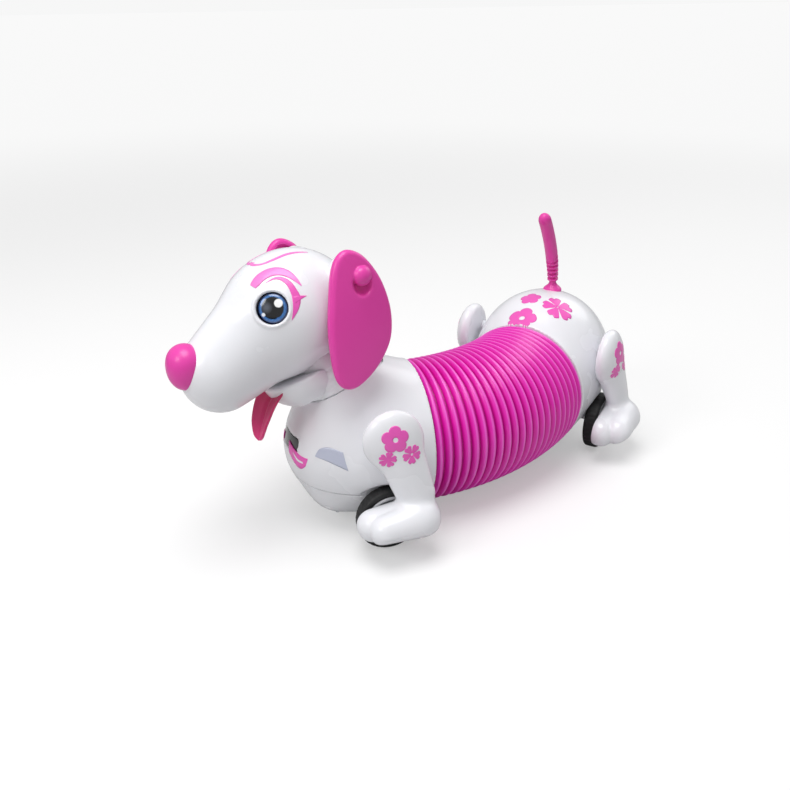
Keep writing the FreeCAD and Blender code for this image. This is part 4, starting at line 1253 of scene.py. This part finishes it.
def floor():
    """Pale paper: it looks near white, yet throws little light up under the toy."""
    material, nodes, shader = new_material("floor_paper")
    cloud = add(nodes, "TexNoise", {"Scale": 3})
    ramp = add(nodes, "MapRange", {"To Min": 0.58, "To Max": 0.62})
    wire(cloud, "Fac", ramp, "Value")
    fade = add(nodes, "Math", operation="MULTIPLY")
    wire(ramp, "Result", fade, 0)
    wire(fade, "Value", shader, "Base Color")
    preset(shader, {"Roughness": 0.85, "Specular IOR Level": 0.1, "Emission Color": (1, 1, 1, 1)})
    seen = add(nodes, "LightPath")
    glow = add(nodes, "Math", operation="MULTIPLY")
    place = add(nodes, "NewGeometry")
    away = add(nodes, "VectorMath", operation="LENGTH")
    wire(place, "Position", away, 0)
    for near_value, far_value, target in ((FLOOR_GLOW, WORLD_SEEN, glow), (1, 0, fade)):
        change = add(nodes, "MapRange", {"From Min": FLOOR_NEAR, "From Max": FLOOR_FAR,
                     "To Min": near_value, "To Max": far_value}, interpolation_type="SMOOTHSTEP")
        wire(away, "Value", change, "Value")
        wire(change, "Result", target, 1)
    wire(seen, "Is Camera Ray", glow, 0)
    wire(glow, "Value", shader, "Emission Strength")
    size = 6.0
    corners = [(-size, -size, 0), (size, -size, 0), (size, size, 0), (-size, size, 0)]
    mesh = bpy.data.meshes.new("floor")
    mesh.from_pydata(corners, [], [(0, 1, 2, 3)])
    mesh.materials.append(material)
    made = bpy.data.objects.new("floor", mesh)
    bpy.context.scene.collection.objects.link(made)


def lamp(name, place, aim, size, power):
    light = bpy.data.lights.new(name, "AREA")
    light.shape = "DISK"
    light.size = size
    light.energy = power
    made = bpy.data.objects.new(name, light)
    made.location = place
    made.rotation_euler = (Vector(aim) - Vector(place)).to_track_quat("-Z", "Y").to_euler()
    bpy.context.scene.collection.objects.link(made)


def studio():
    world = bpy.data.worlds.new("studio")
    bpy.context.scene.world = world
    world.use_nodes = True
    nodes = world.node_tree.nodes
    seen = add(nodes, "LightPath")
    strength = add(nodes, "MapRange", {"To Min": WORLD_LIGHT, "To Max": WORLD_SEEN})
    wire(seen, "Is Camera Ray", strength, "Value")
    wire(strength, "Result", nodes["Background"], "Strength")
    nodes["Background"].inputs["Color"].default_value = (1, 1, 1, 1)
    lamp("top", (0.15, 0.15, 1.2), (-0.05, 0, 0.06), 0.8, 9)
    lamp("key", (0.95, 0.35, 0.8), (-0.05, 0, 0.06), 0.5, 3.5)
    lamp("rim", (-0.9, -0.4, 0.7), (-0.05, 0, 0.06), 0.7, 2)
    bpy.context.scene.view_settings.view_transform = "Standard"


def camera():
    """The eye stands to the dog's front left, about 0.56 m from where it looks."""
    lens = bpy.data.cameras.new("camera")
    lens.sensor_width = 36
    lens.lens = 40.87
    lens.clip_end = 50
    made = bpy.data.objects.new("camera", lens)
    place = Vector((0.1425, 0.4765, 0.3221))
    aim = Vector((-0.0197, 0, 0.0766))
    made.location = place
    made.rotation_euler = (aim - place).to_track_quat("-Z", "Y").to_euler()
    bpy.context.scene.collection.objects.link(made)
    bpy.context.scene.camera = made


chest()
legs("front", FRONT)
wheels("front", FRONT)
hose()
rump()
legs("rear", REAR)
wheels("rear", REAR)
tail()
neck()
head()
ears()
dress_cad_nodes()
floor()
studio()
camera()
